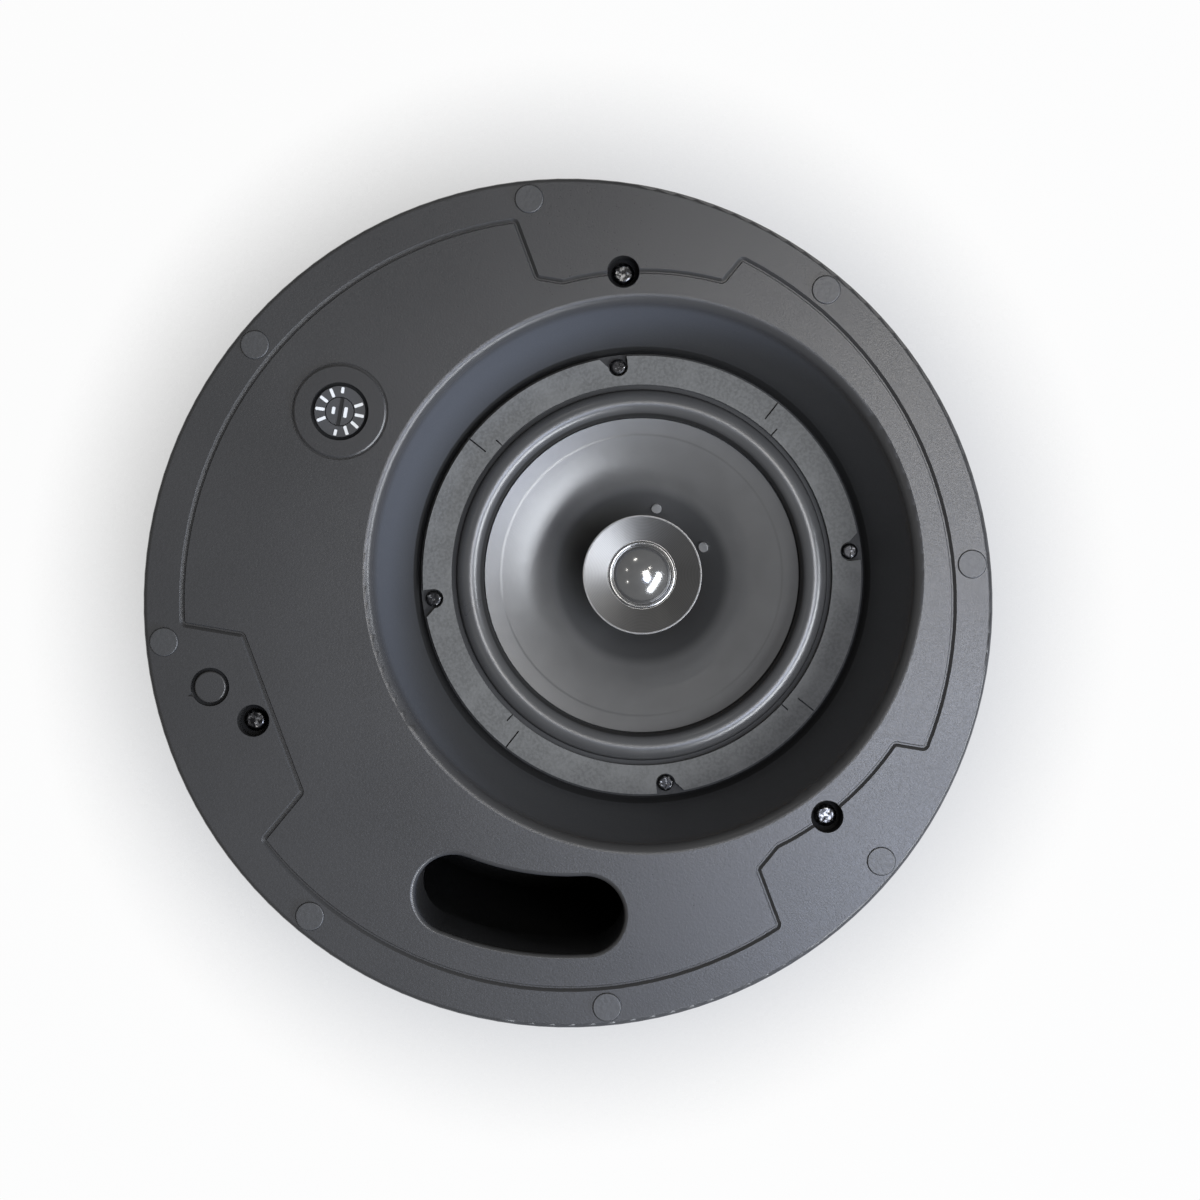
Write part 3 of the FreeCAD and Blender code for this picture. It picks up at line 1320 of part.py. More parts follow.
def clamp_bush(angle):
    """Threaded bush that climbs the screw and carries the arm on its lip."""
    bore = CLAMP_SCREW_RADIUS + SLIDE
    bush = turned(
        [
            (bore, BUSH_Z),
            (BUSH_RADIUS + BUSH_LIP, BUSH_Z),
            (BUSH_RADIUS + BUSH_LIP, BUSH_Z + BUSH_LIP_HEIGHT),
            (BUSH_RADIUS, BUSH_Z + BUSH_LIP_HEIGHT),
            (BUSH_RADIUS, ARM_Z + ARM_HEIGHT),
            (bore, ARM_Z + ARM_HEIGHT),
        ],
        Vector(CLAMP_CIRCLE, 0, 0),
    )
    return turn(bush, angle)


def clamp_arm(angle):
    """Arm that swings out behind the ceiling board, stowed along the pocket."""
    at = Vector(CLAMP_CIRCLE, 0, 0)
    top = ARM_Z + ARM_HEIGHT
    hub = disc(ARM_HUB_RADIUS, ARM_Z, top, at)
    side = [(0, ARM_Z), (ARM_REACH, top - ARM_TIP_HEIGHT), (ARM_REACH, top), (0, top)]
    parts = [hub, across(side)]
    for i in range(ARM_TEETH):
        root = ARM_REACH - (i + 1) * ARM_TOOTH_PITCH
        parts.append(across([(root, top), (root + ARM_TOOTH_PITCH, top), (root, top + ARM_TOOTH_HEIGHT)]))
    bore = disc(BUSH_RADIUS + SLIDE, ARM_Z, top, at)
    return turn(union(parts).cut(bore), angle)


def across(points):
    """Prism of the arm's width on an outline of reach and height, for the clamp on +X."""
    corners = [Vector(CLAMP_CIRCLE - ARM_WIDTH / 2, y, z) for y, z in points]
    face = Part.Face(Part.makePolygon(corners + corners[:1]))
    return face.extrude(Vector(ARM_WIDTH, 0, 0))


PIECES = [
    front_baffle,
    grille_magnets,
    blanking_plug,
    selector_bezel,
    selector_label,
    selector_shaft,
    selector_switch,
    port_duct,
    basket,
    driver_screws,
    surround,
    cone,
    lead_eyelets,
    voice_coil_former,
    voice_coil,
    spider,
    top_plate,
    ferrite_magnet,
    yoke,
    tweeter_post,
    post_nut,
    tweeter_cup,
    tweeter_magnet,
    tweeter_washer,
    tweeter_dome,
    tweeter_bezel,
    back_can,
    can_seal,
    can_screws,
    terminal_cup,
    terminal_block,
    terminal_screws,
    safety_bracket,
    transformer_core,
    transformer_coil,
    transformer_bracket,
    crossover_board,
    board_spacers,
    inductor,
    capacitors,
]

os.makedirs("parts", exist_ok=True)
for piece in PIECES:
    piece().exportStep(f"parts/{piece.__name__}.step")
for number in range(GASKET_SEGMENTS):
    gasket_segment(number).exportStep(f"parts/gasket_segment_{number + 1}.step")
for number, angle in enumerate(CLAMP_ANGLES, 1):
    clamp_screw(angle).exportStep(f"parts/clamp_screw_{number}.step")
    clamp_bush(angle).exportStep(f"parts/clamp_bush_{number}.step")
    clamp_arm(angle).exportStep(f"parts/clamp_arm_{number}.step")
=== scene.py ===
import math

import bpy
from mathutils import Matrix, Vector


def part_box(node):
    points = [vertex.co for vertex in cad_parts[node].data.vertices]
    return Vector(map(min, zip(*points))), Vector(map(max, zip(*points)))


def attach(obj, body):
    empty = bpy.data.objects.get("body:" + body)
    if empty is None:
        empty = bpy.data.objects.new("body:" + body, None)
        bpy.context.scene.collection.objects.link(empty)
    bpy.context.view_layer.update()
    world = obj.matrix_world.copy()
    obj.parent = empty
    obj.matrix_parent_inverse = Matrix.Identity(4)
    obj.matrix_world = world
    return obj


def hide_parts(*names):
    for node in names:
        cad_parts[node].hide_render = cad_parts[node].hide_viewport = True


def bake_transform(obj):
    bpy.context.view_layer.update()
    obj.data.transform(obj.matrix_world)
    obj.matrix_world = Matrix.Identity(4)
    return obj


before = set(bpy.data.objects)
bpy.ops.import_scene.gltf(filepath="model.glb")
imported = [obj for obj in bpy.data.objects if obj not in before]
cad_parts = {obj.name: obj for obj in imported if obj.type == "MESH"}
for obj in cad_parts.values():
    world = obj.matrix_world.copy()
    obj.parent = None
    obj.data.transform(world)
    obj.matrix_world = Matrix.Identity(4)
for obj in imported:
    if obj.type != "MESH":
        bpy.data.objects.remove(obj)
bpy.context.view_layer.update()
bpy.context.scene.view_settings.view_transform = "Standard"

# Camera
# The photograph looks straight down on the face from about 0.9 m. It is turned so that the
# first clamp stands a little right of the top, and its middle lies a little right of the
# speaker's and above it.
PHOTO_TURN = math.radians(9.5)
PHOTO_PIXELS = 1200
FACE_PER_PIXEL = 0.0003586
CAMERA_HEIGHT = 0.9
MIDDLE_RIGHT = 32 * FACE_PER_PIXEL
MIDDLE_UP = 3 * FACE_PER_PIXEL
face_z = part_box("front_baffle")[1].z
middle = Vector((MIDDLE_RIGHT, MIDDLE_UP, face_z + CAMERA_HEIGHT))
over = Matrix.Rotation(PHOTO_TURN, 3, "Z") @ middle
bpy.ops.object.camera_add(location=over, rotation=(0, 0, PHOTO_TURN))
camera = bpy.context.object
camera.data.lens = camera.data.sensor_width * CAMERA_HEIGHT / (PHOTO_PIXELS * FACE_PER_PIXEL)
bpy.context.scene.camera = camera


# Floor
# A pale table under the speaker. The camera and shiny metal see it as plain white, which
# fades close to the speaker into the light that falls there, as a soft shadow all round.
class Level:
    """A number, colour or direction that varies over a surface. Sums on numbers add Math nodes."""

    def __init__(self, finish, socket):
        self.finish = finish
        self.socket = socket

    def reckon(self, operation, first, second):
        return self.finish.node("ShaderNodeMath", {"operation": operation}, {0: first, 1: second})

    def __add__(self, other):
        return self.reckon("ADD", self, other)

    def __sub__(self, other):
        return self.reckon("SUBTRACT", self, other)

    def __rsub__(self, other):
        return self.reckon("SUBTRACT", other, self)

    def __mul__(self, other):
        return self.reckon("MULTIPLY", self, other)

    def __pow__(self, other):
        return self.reckon("POWER", self, other)

    __radd__ = __add__
    __rmul__ = __mul__


class Finish:
    """A surface's material. All its nodes come from one method."""

    def __init__(self, name, constants):
        self.material = bpy.data.materials.new(name)
        self.material.use_nodes = True
        self.tree = self.material.node_tree
        self.shader = self.tree.nodes["Principled BSDF"]
        for socket, value in constants.items():
            self.shader.inputs[socket].default_value = value

    def node(self, kind, settings, sockets, output=0):
        made = self.tree.nodes.new(kind)
        for name, value in settings.items():
            setattr(made, name, value)
        for socket, value in sockets.items():
            if isinstance(value, Level):
                self.tree.links.new(value.socket, made.inputs[socket])
            else:
                made.inputs[socket].default_value = value
        return Level(self, made.outputs[output])

    def feed(self, socket, level):
        self.tree.links.new(level.socket, self.shader.inputs[socket])

    def spot(self, centre=(0, 0, 0), turn=(0, 0, 0)):
        here = self.node("ShaderNodeTexCoord", {}, {}, "Object")
        sockets = {"Vector": here, "Location": centre, "Rotation": turn}
        return self.node("ShaderNodeMapping", {"vector_type": "TEXTURE"}, sockets)

    def noise(self, spot, per_metre, detail=2.0):
        sockets = {"Vector": spot, "Scale": per_metre, "Detail": detail}
        return self.node("ShaderNodeTexNoise", {}, sockets)

    def part(self, spot, axis):
        return self.node("ShaderNodeSeparateXYZ", {}, {0: spot}, axis)

    def radius(self, spot):
        flat = self.node("ShaderNodeVectorMath", {"operation": "MULTIPLY"}, {0: spot, 1: (1, 1, 0)})
        return self.node("ShaderNodeVectorMath", {"operation": "LENGTH"}, {0: flat}, "Value")

    def wave(self, level, per_metre):
        turns = level * (2 * math.pi * per_metre)
        return self.node("ShaderNodeMath", {"operation": "SINE"}, {0: turns})

    def share(self, wave):
        return wave * 0.5 + 0.5

    def between(self, level, low, high):
        sockets = {"Value": level, "From Min": low, "From Max": high}
        return self.node("ShaderNodeMapRange", {"interpolation_type": "SMOOTHSTEP"}, sockets)

    def mix(self, level, first, second):
        return self.node("ShaderNodeMix", {"data_type": "RGBA"}, {0: level, 6: first, 7: second}, 2)

    def bump(self, height, depth):
        sockets = {"Height": height, "Distance": depth}
        self.feed("Normal", self.node("ShaderNodeBump", {}, sockets, "Normal"))


FLOOR_SIZE = 8.0
FLOOR_GRID = 8
FLOOR_DROP = 0.0004
FLOOR_WHITE = 0.97
FLOOR_SHADE = 0.115
FLOOR_FADE = 3
FLOOR_GREY = (0.2, 0.2, 0.2, 1)
FLOOR_ROUGHNESS = 0.9
FLOOR_SPECULAR = 0.1
WHITE = (1, 1, 1, 1)
bpy.ops.object.select_all(action="DESELECT")
bpy.ops.mesh.primitive_grid_add(
    x_subdivisions=FLOOR_GRID,
    y_subdivisions=FLOOR_GRID,
    size=FLOOR_SIZE,
    location=(0, 0, -FLOOR_DROP),
)
floor = bpy.context.object
floor.name = "floor"
pale = Finish("pale_table", {
    "Base Color": FLOOR_GREY,
    "Roughness": FLOOR_ROUGHNESS,
    "Specular IOR Level": FLOOR_SPECULAR,
})
rays = pale.node("ShaderNodeLightPath", {}, {}, "Is Camera Ray")
glossy = pale.node("ShaderNodeLightPath", {}, {}, "Is Glossy Ray")
through = pale.node("ShaderNodeLightPath", {}, {}, "Is Transmission Ray")
open_sky = pale.node("ShaderNodeAmbientOcclusion", {}, {"Distance": FLOOR_SHADE}, "AO")
white = pale.node("ShaderNodeEmission", {}, {"Color": WHITE, "Strength": 1.0})
lit = Level(pale, pale.shader.outputs[0])
seen = (rays + glossy + through) * open_sky ** FLOOR_FADE * FLOOR_WHITE
both = pale.node("ShaderNodeMixShader", {}, {0: seen, 1: lit, 2: white})
pale.tree.links.new(both.socket, pale.tree.nodes["Material Output"].inputs["Surface"])
floor.data.materials.append(pale.material)

# Room light
# A window low on the lower right of the photograph, which shines into the well without a glare,
# a row of lamps above it, sky light and a wide lamp high on the right, four small lamps on the
# ceiling, and a dim room all round.
ROOM_LIGHT = 0.24
WINDOW_COLOUR = (0.6, 0.72, 1.0)
SKY_COLOUR = (0.7, 0.78, 1.0)
DAY_COLOUR = (0.9, 0.94, 1.0)
LAMP_COLOUR = (1.0, 0.97, 0.92)
world = bpy.data.worlds.new("room")
world.use_nodes = True
bpy.context.scene.world = world
backdrop = world.node_tree.nodes["Background"]
backdrop.inputs["Color"].default_value = WHITE
sky_rays = world.node_tree.nodes.new("ShaderNodeLightPath")
strength = world.node_tree.nodes.new("ShaderNodeMapRange")
strength.inputs["To Min"].default_value = ROOM_LIGHT
strength.inputs["To Max"].default_value = FLOOR_WHITE
world.node_tree.links.new(sky_rays.outputs["Is Camera Ray"], strength.inputs["Value"])
world.node_tree.links.new(strength.outputs[0], backdrop.inputs["Strength"])


def hang_lamp(name, direction, height, distance, size, radiance, colour):
    """An area lamp that faces the middle of the face. Direction is as the photograph shows it."""
    turn = math.radians(direction) + PHOTO_TURN
    rise = math.radians(height)
    flat = distance * math.cos(rise)
    aim = Vector((flat * math.cos(turn), flat * math.sin(turn), distance * math.sin(rise)))
    bpy.ops.object.light_add(type="AREA", location=aim + Vector((0, 0, face_z)))
    lamp = bpy.context.object
    lamp.name = name
    lamp.rotation_euler = aim.to_track_quat("Z", "Y").to_euler()
    lamp.data.shape = "RECTANGLE"
    lamp.data.size, lamp.data.size_y = size
    lamp.data.energy = radiance * math.pi * size[0] * size[1]
    lamp.data.color = colour


# Each row: name, direction and height in degrees, distance, size, radiance, colour.
LAMPS = (
    ("window", -38, 9, 1.6, (0.9, 0.24), 88.0, WINDOW_COLOUR),
    ("lamp_row", -30, 46, 1.6, (1.6, 0.36), 18.0, DAY_COLOUR),
    ("sky_light", -32, 72, 1.5, (0.4, 0.4), 14.0, SKY_COLOUR),
    ("wide_lamp", 16, 77, 1.5, (0.4, 0.4), 9.0, LAMP_COLOUR),
    ("ceiling_lamp_1", 160, 46, 1.8, (0.07, 0.07), 14.0, LAMP_COLOUR),
    ("ceiling_lamp_2", 206, 46, 1.8, (0.07, 0.07), 14.0, LAMP_COLOUR),
    ("ceiling_lamp_3", 111, 43, 1.8, (0.24, 0.06), 12.0, LAMP_COLOUR),
    ("ceiling_lamp_4", 40, 60, 1.8, (0.09, 0.09), 14.0, LAMP_COLOUR),
)
for lamp_values in LAMPS:
    hang_lamp(*lamp_values)
bpy.data.objects["window"].visible_glossy = False

# Front baffle, blanking plug and selector bezel
# One charcoal moulding with a fine spark-eroded grain that is duller in the well, and two
# small parts moulded in the same plastic. The well is painted lighter and bluer as painted
# window light, and its hollows, the ring round the dial and the foot of the well are painted
# black as painted shade.
CHARCOAL = (0.026, 0.0252, 0.0244, 1)
CHARCOAL_PALE = (0.032, 0.0311, 0.0301, 1)
WELL_LIT_CHARCOAL = (0.037, 0.0378, 0.0395, 1)
WELL_EDGE = 0.0975
WELL_FLOOR = 0.0955
WELL_FOOT = 0.0352
WELL_FOOT_BLUR = 0.0015
SHADE_BLACK = (0.003, 0.003, 0.003, 1)
HOLLOW_BLUR = 0.0001
HOLLOW_DULL = 0.5
CLAMPS = (1, 2, 3)
CLAMP_HOLLOW = 0.0058
PLUG_HOLLOW = 0.0069
DIAL_HOLLOW = 0.0104
DIAL_HOLLOW_DULL = 0.6
WELL_DULL = 0.24
FACE_ROUGHNESS = 0.32
FACE_GRAIN = 1500
FACE_GRAIN_DEPTH = 0.00003
RING_ROUGHNESS = 0.24
CLOUDS = 18
CLOUD_DETAIL = 3.0
GRAIN_DULL = 0.16
CLOUD_DULL = 0.08
MEAN_DULL = (GRAIN_DULL + CLOUD_DULL) / 2


def dress(finish, *names):
    """Give CAD nodes a finish."""
    for name in names:
        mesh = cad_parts[name].data
        mesh.materials.clear()
        mesh.materials.append(finish.material)


def middle_of(name):
    """The middle of a CAD node's box."""
    low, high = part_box(name)
    return (low + high) / 2


def hollow(finish, name, reach):
    """Where a round hollow lies, from the node in its middle and its radius."""
    middle = middle_of(name)
    across = finish.radius(finish.spot((middle.x, middle.y, 0)))
    return finish.between(across, reach + HOLLOW_BLUR, reach)


def moulding(name, dark, pale, roughness, grain, depth):
    """Moulded plastic: faint clouds from the flow, and a fine grain from the mould."""
    finish = Finish(name, {})
    spot = finish.spot()
    cloud = finish.noise(spot, CLOUDS, CLOUD_DETAIL)
    fine = finish.noise(spot, grain)
    finish.feed("Base Color", finish.mix(cloud, dark, pale))
    finish.feed("Roughness", fine * GRAIN_DULL + cloud * CLOUD_DULL + (roughness - MEAN_DULL))
    finish.bump(fine, depth)
    return finish


charcoal = moulding(
    "charcoal_plastic", CHARCOAL, CHARCOAL_PALE, FACE_ROUGHNESS, FACE_GRAIN, FACE_GRAIN_DEPTH
)
dress(charcoal, "blanking_plug")
ring = Finish("bezel_plastic", {})
fine = ring.noise(ring.spot(), FACE_GRAIN)
# Painted shade: the ring round the dial is painted black.
inside = hollow(ring, "selector_label", DIAL_HOLLOW)
ring.feed("Base Color", ring.mix(inside, CHARCOAL, SHADE_BLACK))
ring.feed("Roughness", fine * GRAIN_DULL + inside * DIAL_HOLLOW_DULL + RING_ROUGHNESS)
ring.bump(fine, FACE_GRAIN_DEPTH)
dress(ring, "selector_bezel")
driver_at = middle_of("tweeter_bezel")
baffle = Finish("baffle_plastic", {})
spot = baffle.spot()
cloud = baffle.noise(spot, CLOUDS, CLOUD_DETAIL)
fine = baffle.noise(spot, FACE_GRAIN)
from_driver = baffle.radius(baffle.spot((driver_at.x, driver_at.y, 0)))
in_well = baffle.between(from_driver, WELL_EDGE, WELL_FLOOR)
foot_z = face_z - WELL_FOOT
foot = baffle.between(baffle.part(spot, "Z"), foot_z + WELL_FOOT_BLUR, foot_z)
# Painted shade: the hollows round the plug and clamp screws and the foot of the well are painted black.
inside = in_well * foot + hollow(baffle, "blanking_plug", PLUG_HOLLOW)
for clamp in CLAMPS:
    inside = inside + hollow(baffle, f"clamp_screw_{clamp}", CLAMP_HOLLOW)
face = baffle.mix(cloud, CHARCOAL, CHARCOAL_PALE)
# Painted light: the well is painted a lighter, bluer charcoal for the window light on its wall.
plastic = baffle.mix(in_well, face, WELL_LIT_CHARCOAL)
baffle.feed("Base Color", baffle.mix(inside, plastic, SHADE_BLACK))
dull = in_well * WELL_DULL + inside * HOLLOW_DULL
sheen = fine * GRAIN_DULL + cloud * CLOUD_DULL
baffle.feed("Roughness", sheen + dull + (FACE_ROUGHNESS - MEAN_DULL))
baffle.bump(fine, FACE_GRAIN_DEPTH)
dress(baffle, "front_baffle")

# Grille magnets
# Eight plated discs pressed into the flange and painted over in the baffle's colour.
MAGNET_GREY = (0.032, 0.032, 0.031, 1)
MAGNET_WORN = (0.046, 0.045, 0.044, 1)
painted = moulding("painted_magnet", MAGNET_GREY, MAGNET_WORN, roughness=0.36, grain=700, depth=0.00006)
dress(painted, "grille_magnets")

# Power selector
# A slotted spindle turns inside a printed dial. The dial's white strokes stand in a ring
# in two groups of five, and two more stand beside the slot on the spindle.
DIAL_BLACK = (0.03, 0.03, 0.031, 1)
DIAL_PALE = (0.04, 0.04, 0.04, 1)
SWITCH_BLACK = (0.016, 0.016, 0.017, 1)
STROKE_WHITE = (0.5, 0.5, 0.49, 1)
STROKE_WORN = (0.7, 0.7, 0.68, 1)
STROKES = 5
STROKE_STARTS = (91.5, 267.5)
STROKE_STEP = 30
STROKE_OUTER = 0.0088
STROKE_LENGTH = 0.0033
STROKE_SHORT = 0.0022
STROKE_WIDTH = 0.0011
STROKE_THICK = 0.00012
STROKE_SUNK = 0.00002
SLOT_ANGLE = 89.5
SLOT_STROKES = ((0.0023, 0.0026), (-0.0021, 0.0038))
SLOT_STROKE_WIDTH = 0.0012
SLOT_HALF = 0.0006
SLOT_BLUR = 0.0001
STROKE_CORNER_STEPS = 4
DIAL_ROUGHNESS = 0.4
DIAL_GRAIN = 1800
dial = moulding(
    "dial_plastic", DIAL_BLACK, DIAL_PALE, roughness=DIAL_ROUGHNESS, grain=DIAL_GRAIN, depth=0.00003
)
dress(dial, "selector_label")
dial_at = middle_of("selector_label")
spindle = Finish("spindle_plastic", {"Roughness": DIAL_ROUGHNESS})
spot = spindle.spot((dial_at.x, dial_at.y, 0), (0, 0, math.radians(SLOT_ANGLE)))
grime = spindle.mix(spindle.noise(spot, DIAL_GRAIN), DIAL_BLACK, DIAL_PALE)
aside = spindle.part(spot, "Y")
# Painted shade: a band along the spindle's slot is painted black.
right = spindle.between(aside, SLOT_HALF + SLOT_BLUR, SLOT_HALF)
left = spindle.between(aside, -SLOT_HALF - SLOT_BLUR, -SLOT_HALF)
spindle.feed("Base Color", spindle.mix(right * left, grime, SHADE_BLACK))
dress(spindle, "selector_shaft")
black = moulding("black_plastic", SWITCH_BLACK, DIAL_BLACK, roughness=0.5, grain=1200, depth=0.00004)
dress(black, "selector_switch")
ink = moulding("white_ink", STROKE_WHITE, STROKE_WORN, roughness=0.5, grain=1500, depth=0.00002)
dial_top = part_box("selector_label")[1].z - STROKE_SUNK


def print_stroke(length, width, out, side, angle):
    """A thin printed stroke with round corners, at a place along and across an angle."""
    bpy.ops.object.select_all(action="DESELECT")
    bpy.ops.mesh.primitive_plane_add(size=1)
    piece = bpy.context.object
    piece.scale = (length, width, 1)
    bpy.ops.object.transform_apply(location=False, rotation=False, scale=True)
    bpy.ops.object.mode_set(mode="EDIT")
    bpy.ops.mesh.select_all(action="SELECT")
    bpy.ops.mesh.bevel(offset=width / 3, segments=STROKE_CORNER_STEPS, affect="VERTICES")
    bpy.ops.mesh.select_all(action="SELECT")
    bpy.ops.mesh.extrude_region_move(TRANSFORM_OT_translate={"value": (0, 0, STROKE_THICK)})
    bpy.ops.mesh.select_all(action="SELECT")
    bpy.ops.mesh.normals_make_consistent(inside=False)
    bpy.ops.object.mode_set(mode="OBJECT")
    turn = math.radians(angle)
    piece.rotation_euler = (0, 0, turn)
    place = Matrix.Rotation(turn, 3, "Z") @ Vector((out, side, 0))
    piece.location = (dial_at.x + place.x, dial_at.y + place.y, dial_top)
    bpy.ops.object.transform_apply(location=True, rotation=True, scale=True)
    piece.data.materials.append(ink.material)
    return piece


def join(name, pieces):
    """Several meshes as one piece."""
    bpy.ops.object.select_all(action="DESELECT")
    for piece in pieces:
        piece.select_set(True)
    bpy.context.view_layer.objects.active = pieces[0]
    bpy.ops.object.join()
    pieces[0].name = name
    return pieces[0]


strokes = []
for start in STROKE_STARTS:
    for number in range(STROKES):
        length = STROKE_LENGTH if number else STROKE_SHORT
        angle = start + number * STROKE_STEP
        out = STROKE_OUTER - length / 2
        strokes.append(print_stroke(length, STROKE_WIDTH, out, 0, angle))
scale_strokes = join("dial_strokes", strokes)
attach(scale_strokes, "housing")
slot_strokes = []
for side, length in SLOT_STROKES:
    slot_strokes.append(print_stroke(length, SLOT_STROKE_WIDTH, 0, side, SLOT_ANGLE))
pointer = join("spindle_strokes", slot_strokes)
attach(pointer, "selector")

# Port duct
# A black moulded tube behind the bent slot, welded to the panel by its collar.
dress(black, "port_duct")

# Gasket
# Four lapped quarters cut from dense grey cork and rubber sheet, glued to the chassis rim.
GASKET_GREY = (0.118, 0.118, 0.115, 1)
GASKET_DARK = (0.092, 0.092, 0.089, 1)
GASKET_CRUMB = (0.138, 0.138, 0.134, 1)
GASKET_QUARTERS = (1, 2, 3, 4)
CORK_CRUMBS = 700
CORK_PITS = 900
CORK_CLOUDS = 60
CORK_PIT_RANGE = (0.35, 0.65)
CORK_CLOUD_RANGE = (0.45, 0.8)
CORK_PIT_SHARE = 0.7
CORK_CRUMB_SHARE = 0.3
CORK_RELIEF = 0.00025
CORK_PIT_DULL = 0.2
CORK_ROUGHNESS = 0.65
cork = Finish("gasket_sheet", {"Specular IOR Level": 0.3})
spot = cork.spot()
sockets = {"Vector": spot, "Scale": CORK_CRUMBS}
crumb = cork.node("ShaderNodeTexVoronoi", {"feature": "F1"}, sockets, "Distance")
pit = cork.noise(spot, CORK_PITS, CLOUD_DETAIL)
cloud = cork.noise(spot, CORK_CLOUDS, CLOUD_DETAIL)
ground = cork.mix(cork.between(pit, *CORK_PIT_RANGE), GASKET_DARK, GASKET_GREY)
crumbs = cork.between(cloud, *CORK_CLOUD_RANGE)
cork.feed("Base Color", cork.mix(crumbs, ground, GASKET_CRUMB))
cork.feed("Roughness", pit * CORK_PIT_DULL + CORK_ROUGHNESS)
cork.bump(pit * CORK_PIT_SHARE + crumb * CORK_CRUMB_SHARE, CORK_RELIEF)
for quarter in GASKET_QUARTERS:
    dress(cork, f"gasket_segment_{quarter}")

# Basket and driver screws
# A pressed steel frame in black powder coat, held by four black screws.
BASKET_BLACK = (0.005, 0.005, 0.005, 1)
BASKET_PALE = (0.009, 0.009, 0.009, 1)
powder = moulding("powder_coat", BASKET_BLACK, BASKET_PALE, roughness=0.6, grain=900, depth=0.00008)
dress(powder, "basket", "tweeter_cup")
SCREW_BLACK = (0.02, 0.02, 0.021, 1)
SCREW_WORN = (0.3, 0.3, 0.3, 1)
SCREW_SCRATCHES = 900
SCREW_WEAR = (0.55, 0.75)
SCREW_SCRATCH_DULL = 0.2
SCREW_ROUGHNESS = 0.22
oxide = Finish("black_oxide", {"Metallic": 0.8})
spot = oxide.spot()
rub = oxide.noise(spot, SCREW_SCRATCHES, CLOUD_DETAIL)
oxide.feed("Base Color", oxide.mix(oxide.between(rub, *SCREW_WEAR), SCREW_BLACK, SCREW_WORN))
oxide.feed("Roughness", rub * SCREW_SCRATCH_DULL + SCREW_ROUGHNESS)
dress(oxide, "driver_screws", "can_screws")

# Surround
# A half-roll of satin black rubber, with one land glued on the chassis and one behind the
# cone's edge. It is made here in sectors.
RUBBER = (0.045, 0.045, 0.046, 1)
RUBBER_BLOOM = (0.062, 0.062, 0.062, 1)
RUBBER_VALLEY_SHADE = (0.003, 0.003, 0.003, 1)
RUBBER_BLOOMS = 60
RUBBER_GRAIN = 900
RUBBER_GRAIN_DEPTH = 0.00002
RUBBER_ROUGHNESS = 0.25
RUBBER_BLOOM_DULL = 0.08
RUBBER_VALLEY_SHADE_DULL = 0.4
RIM_VALLEY_SHADE = (0.0683, 0.0690)
CONE_VALLEY_SHADE = (0.0605, 0.0599)
RUBBER_THICK = 0.0008
ROLL_MIDDLE = 0.0642
ROLL_RADIUS = 0.005
ROLL_SEGMENTS = 40
RIM_LAND = 0.0046
CONE_LEG = 0.0028
CONE_LAND = (-0.0056, 0, -0.00255)
SECTORS = 36
SECTOR_ANGLE = 2 * math.pi / SECTORS
SECTOR_STEPS = 6
SMOOTH_ANGLE = math.radians(35)
WELD_WITHIN = 0.000001
surround_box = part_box("surround")
rubber = Finish("surround_rubber", {"Specular IOR Level": 0.8})
spot = rubber.spot((driver_at.x, driver_at.y, 0))
across = rubber.radius(spot)
bloom = rubber.noise(spot, RUBBER_BLOOMS, CLOUD_DETAIL)
fine = rubber.noise(spot, RUBBER_GRAIN)
# Painted shade: the two valleys at the foot of the roll are painted near-black.
valley_shade = rubber.between(across, *RIM_VALLEY_SHADE) + rubber.between(across, *CONE_VALLEY_SHADE)
rubber.feed("Base Color", rubber.mix(valley_shade, rubber.mix(bloom, RUBBER, RUBBER_BLOOM), RUBBER_VALLEY_SHADE))
rubber.feed("Roughness", bloom * RUBBER_BLOOM_DULL + valley_shade * RUBBER_VALLEY_SHADE_DULL + RUBBER_ROUGHNESS)
rubber.bump(fine, RUBBER_GRAIN_DEPTH)


def pull(step):
    """Extrude what is selected by a step."""
    bpy.ops.mesh.extrude_region_move(TRANSFORM_OT_translate={"value": step})


def pick_vertex(piece, key):
    """Select only the vertex that comes first by a key."""
    bpy.ops.mesh.select_all(action="DESELECT")
    bpy.ops.object.mode_set(mode="OBJECT")
    min(piece.data.vertices, key=key).select = True
    bpy.ops.object.mode_set(mode="EDIT")


def spin_sector(piece, thick):
    """Turn a profile into one sector about the driver's axis, and give it its thickness."""
    bpy.ops.mesh.select_all(action="SELECT")
    bpy.ops.mesh.spin(steps=SECTOR_STEPS, angle=SECTOR_ANGLE, center=(0, 0, 0), axis=(0, 0, 1))
    bpy.ops.mesh.select_all(action="SELECT")
    bpy.ops.mesh.remove_doubles(threshold=WELD_WITHIN)
    bpy.ops.mesh.normals_make_consistent(inside=False)
    bpy.ops.object.mode_set(mode="OBJECT")
    sheet = piece.modifiers.new("thickness", "SOLIDIFY")
    sheet.thickness = thick
    sheet.offset = 0
    sheet.use_even_offset = True
    bpy.ops.object.modifier_apply(modifier=sheet.name)
    bpy.ops.object.shade_smooth_by_angle(angle=SMOOTH_ANGLE)


def bend_sectors(piece, node):
    """Copy a sector round the driver's axis."""
    for number in range(SECTORS):
        bpy.ops.object.select_all(action="DESELECT")
        piece.select_set(True)
        bpy.context.view_layer.objects.active = piece
        bpy.ops.object.duplicate()
        sector = bpy.context.object
        sector.name = f"{node}_sector_{number + 1}"
        sector.rotation_euler = (0, 0, number * SECTOR_ANGLE)
        sector.location = (driver_at.x, driver_at.y, 0)
        bpy.ops.object.transform_apply(location=True, rotation=True, scale=True)
        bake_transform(sector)
        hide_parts(node)
    bpy.data.objects.remove(piece)


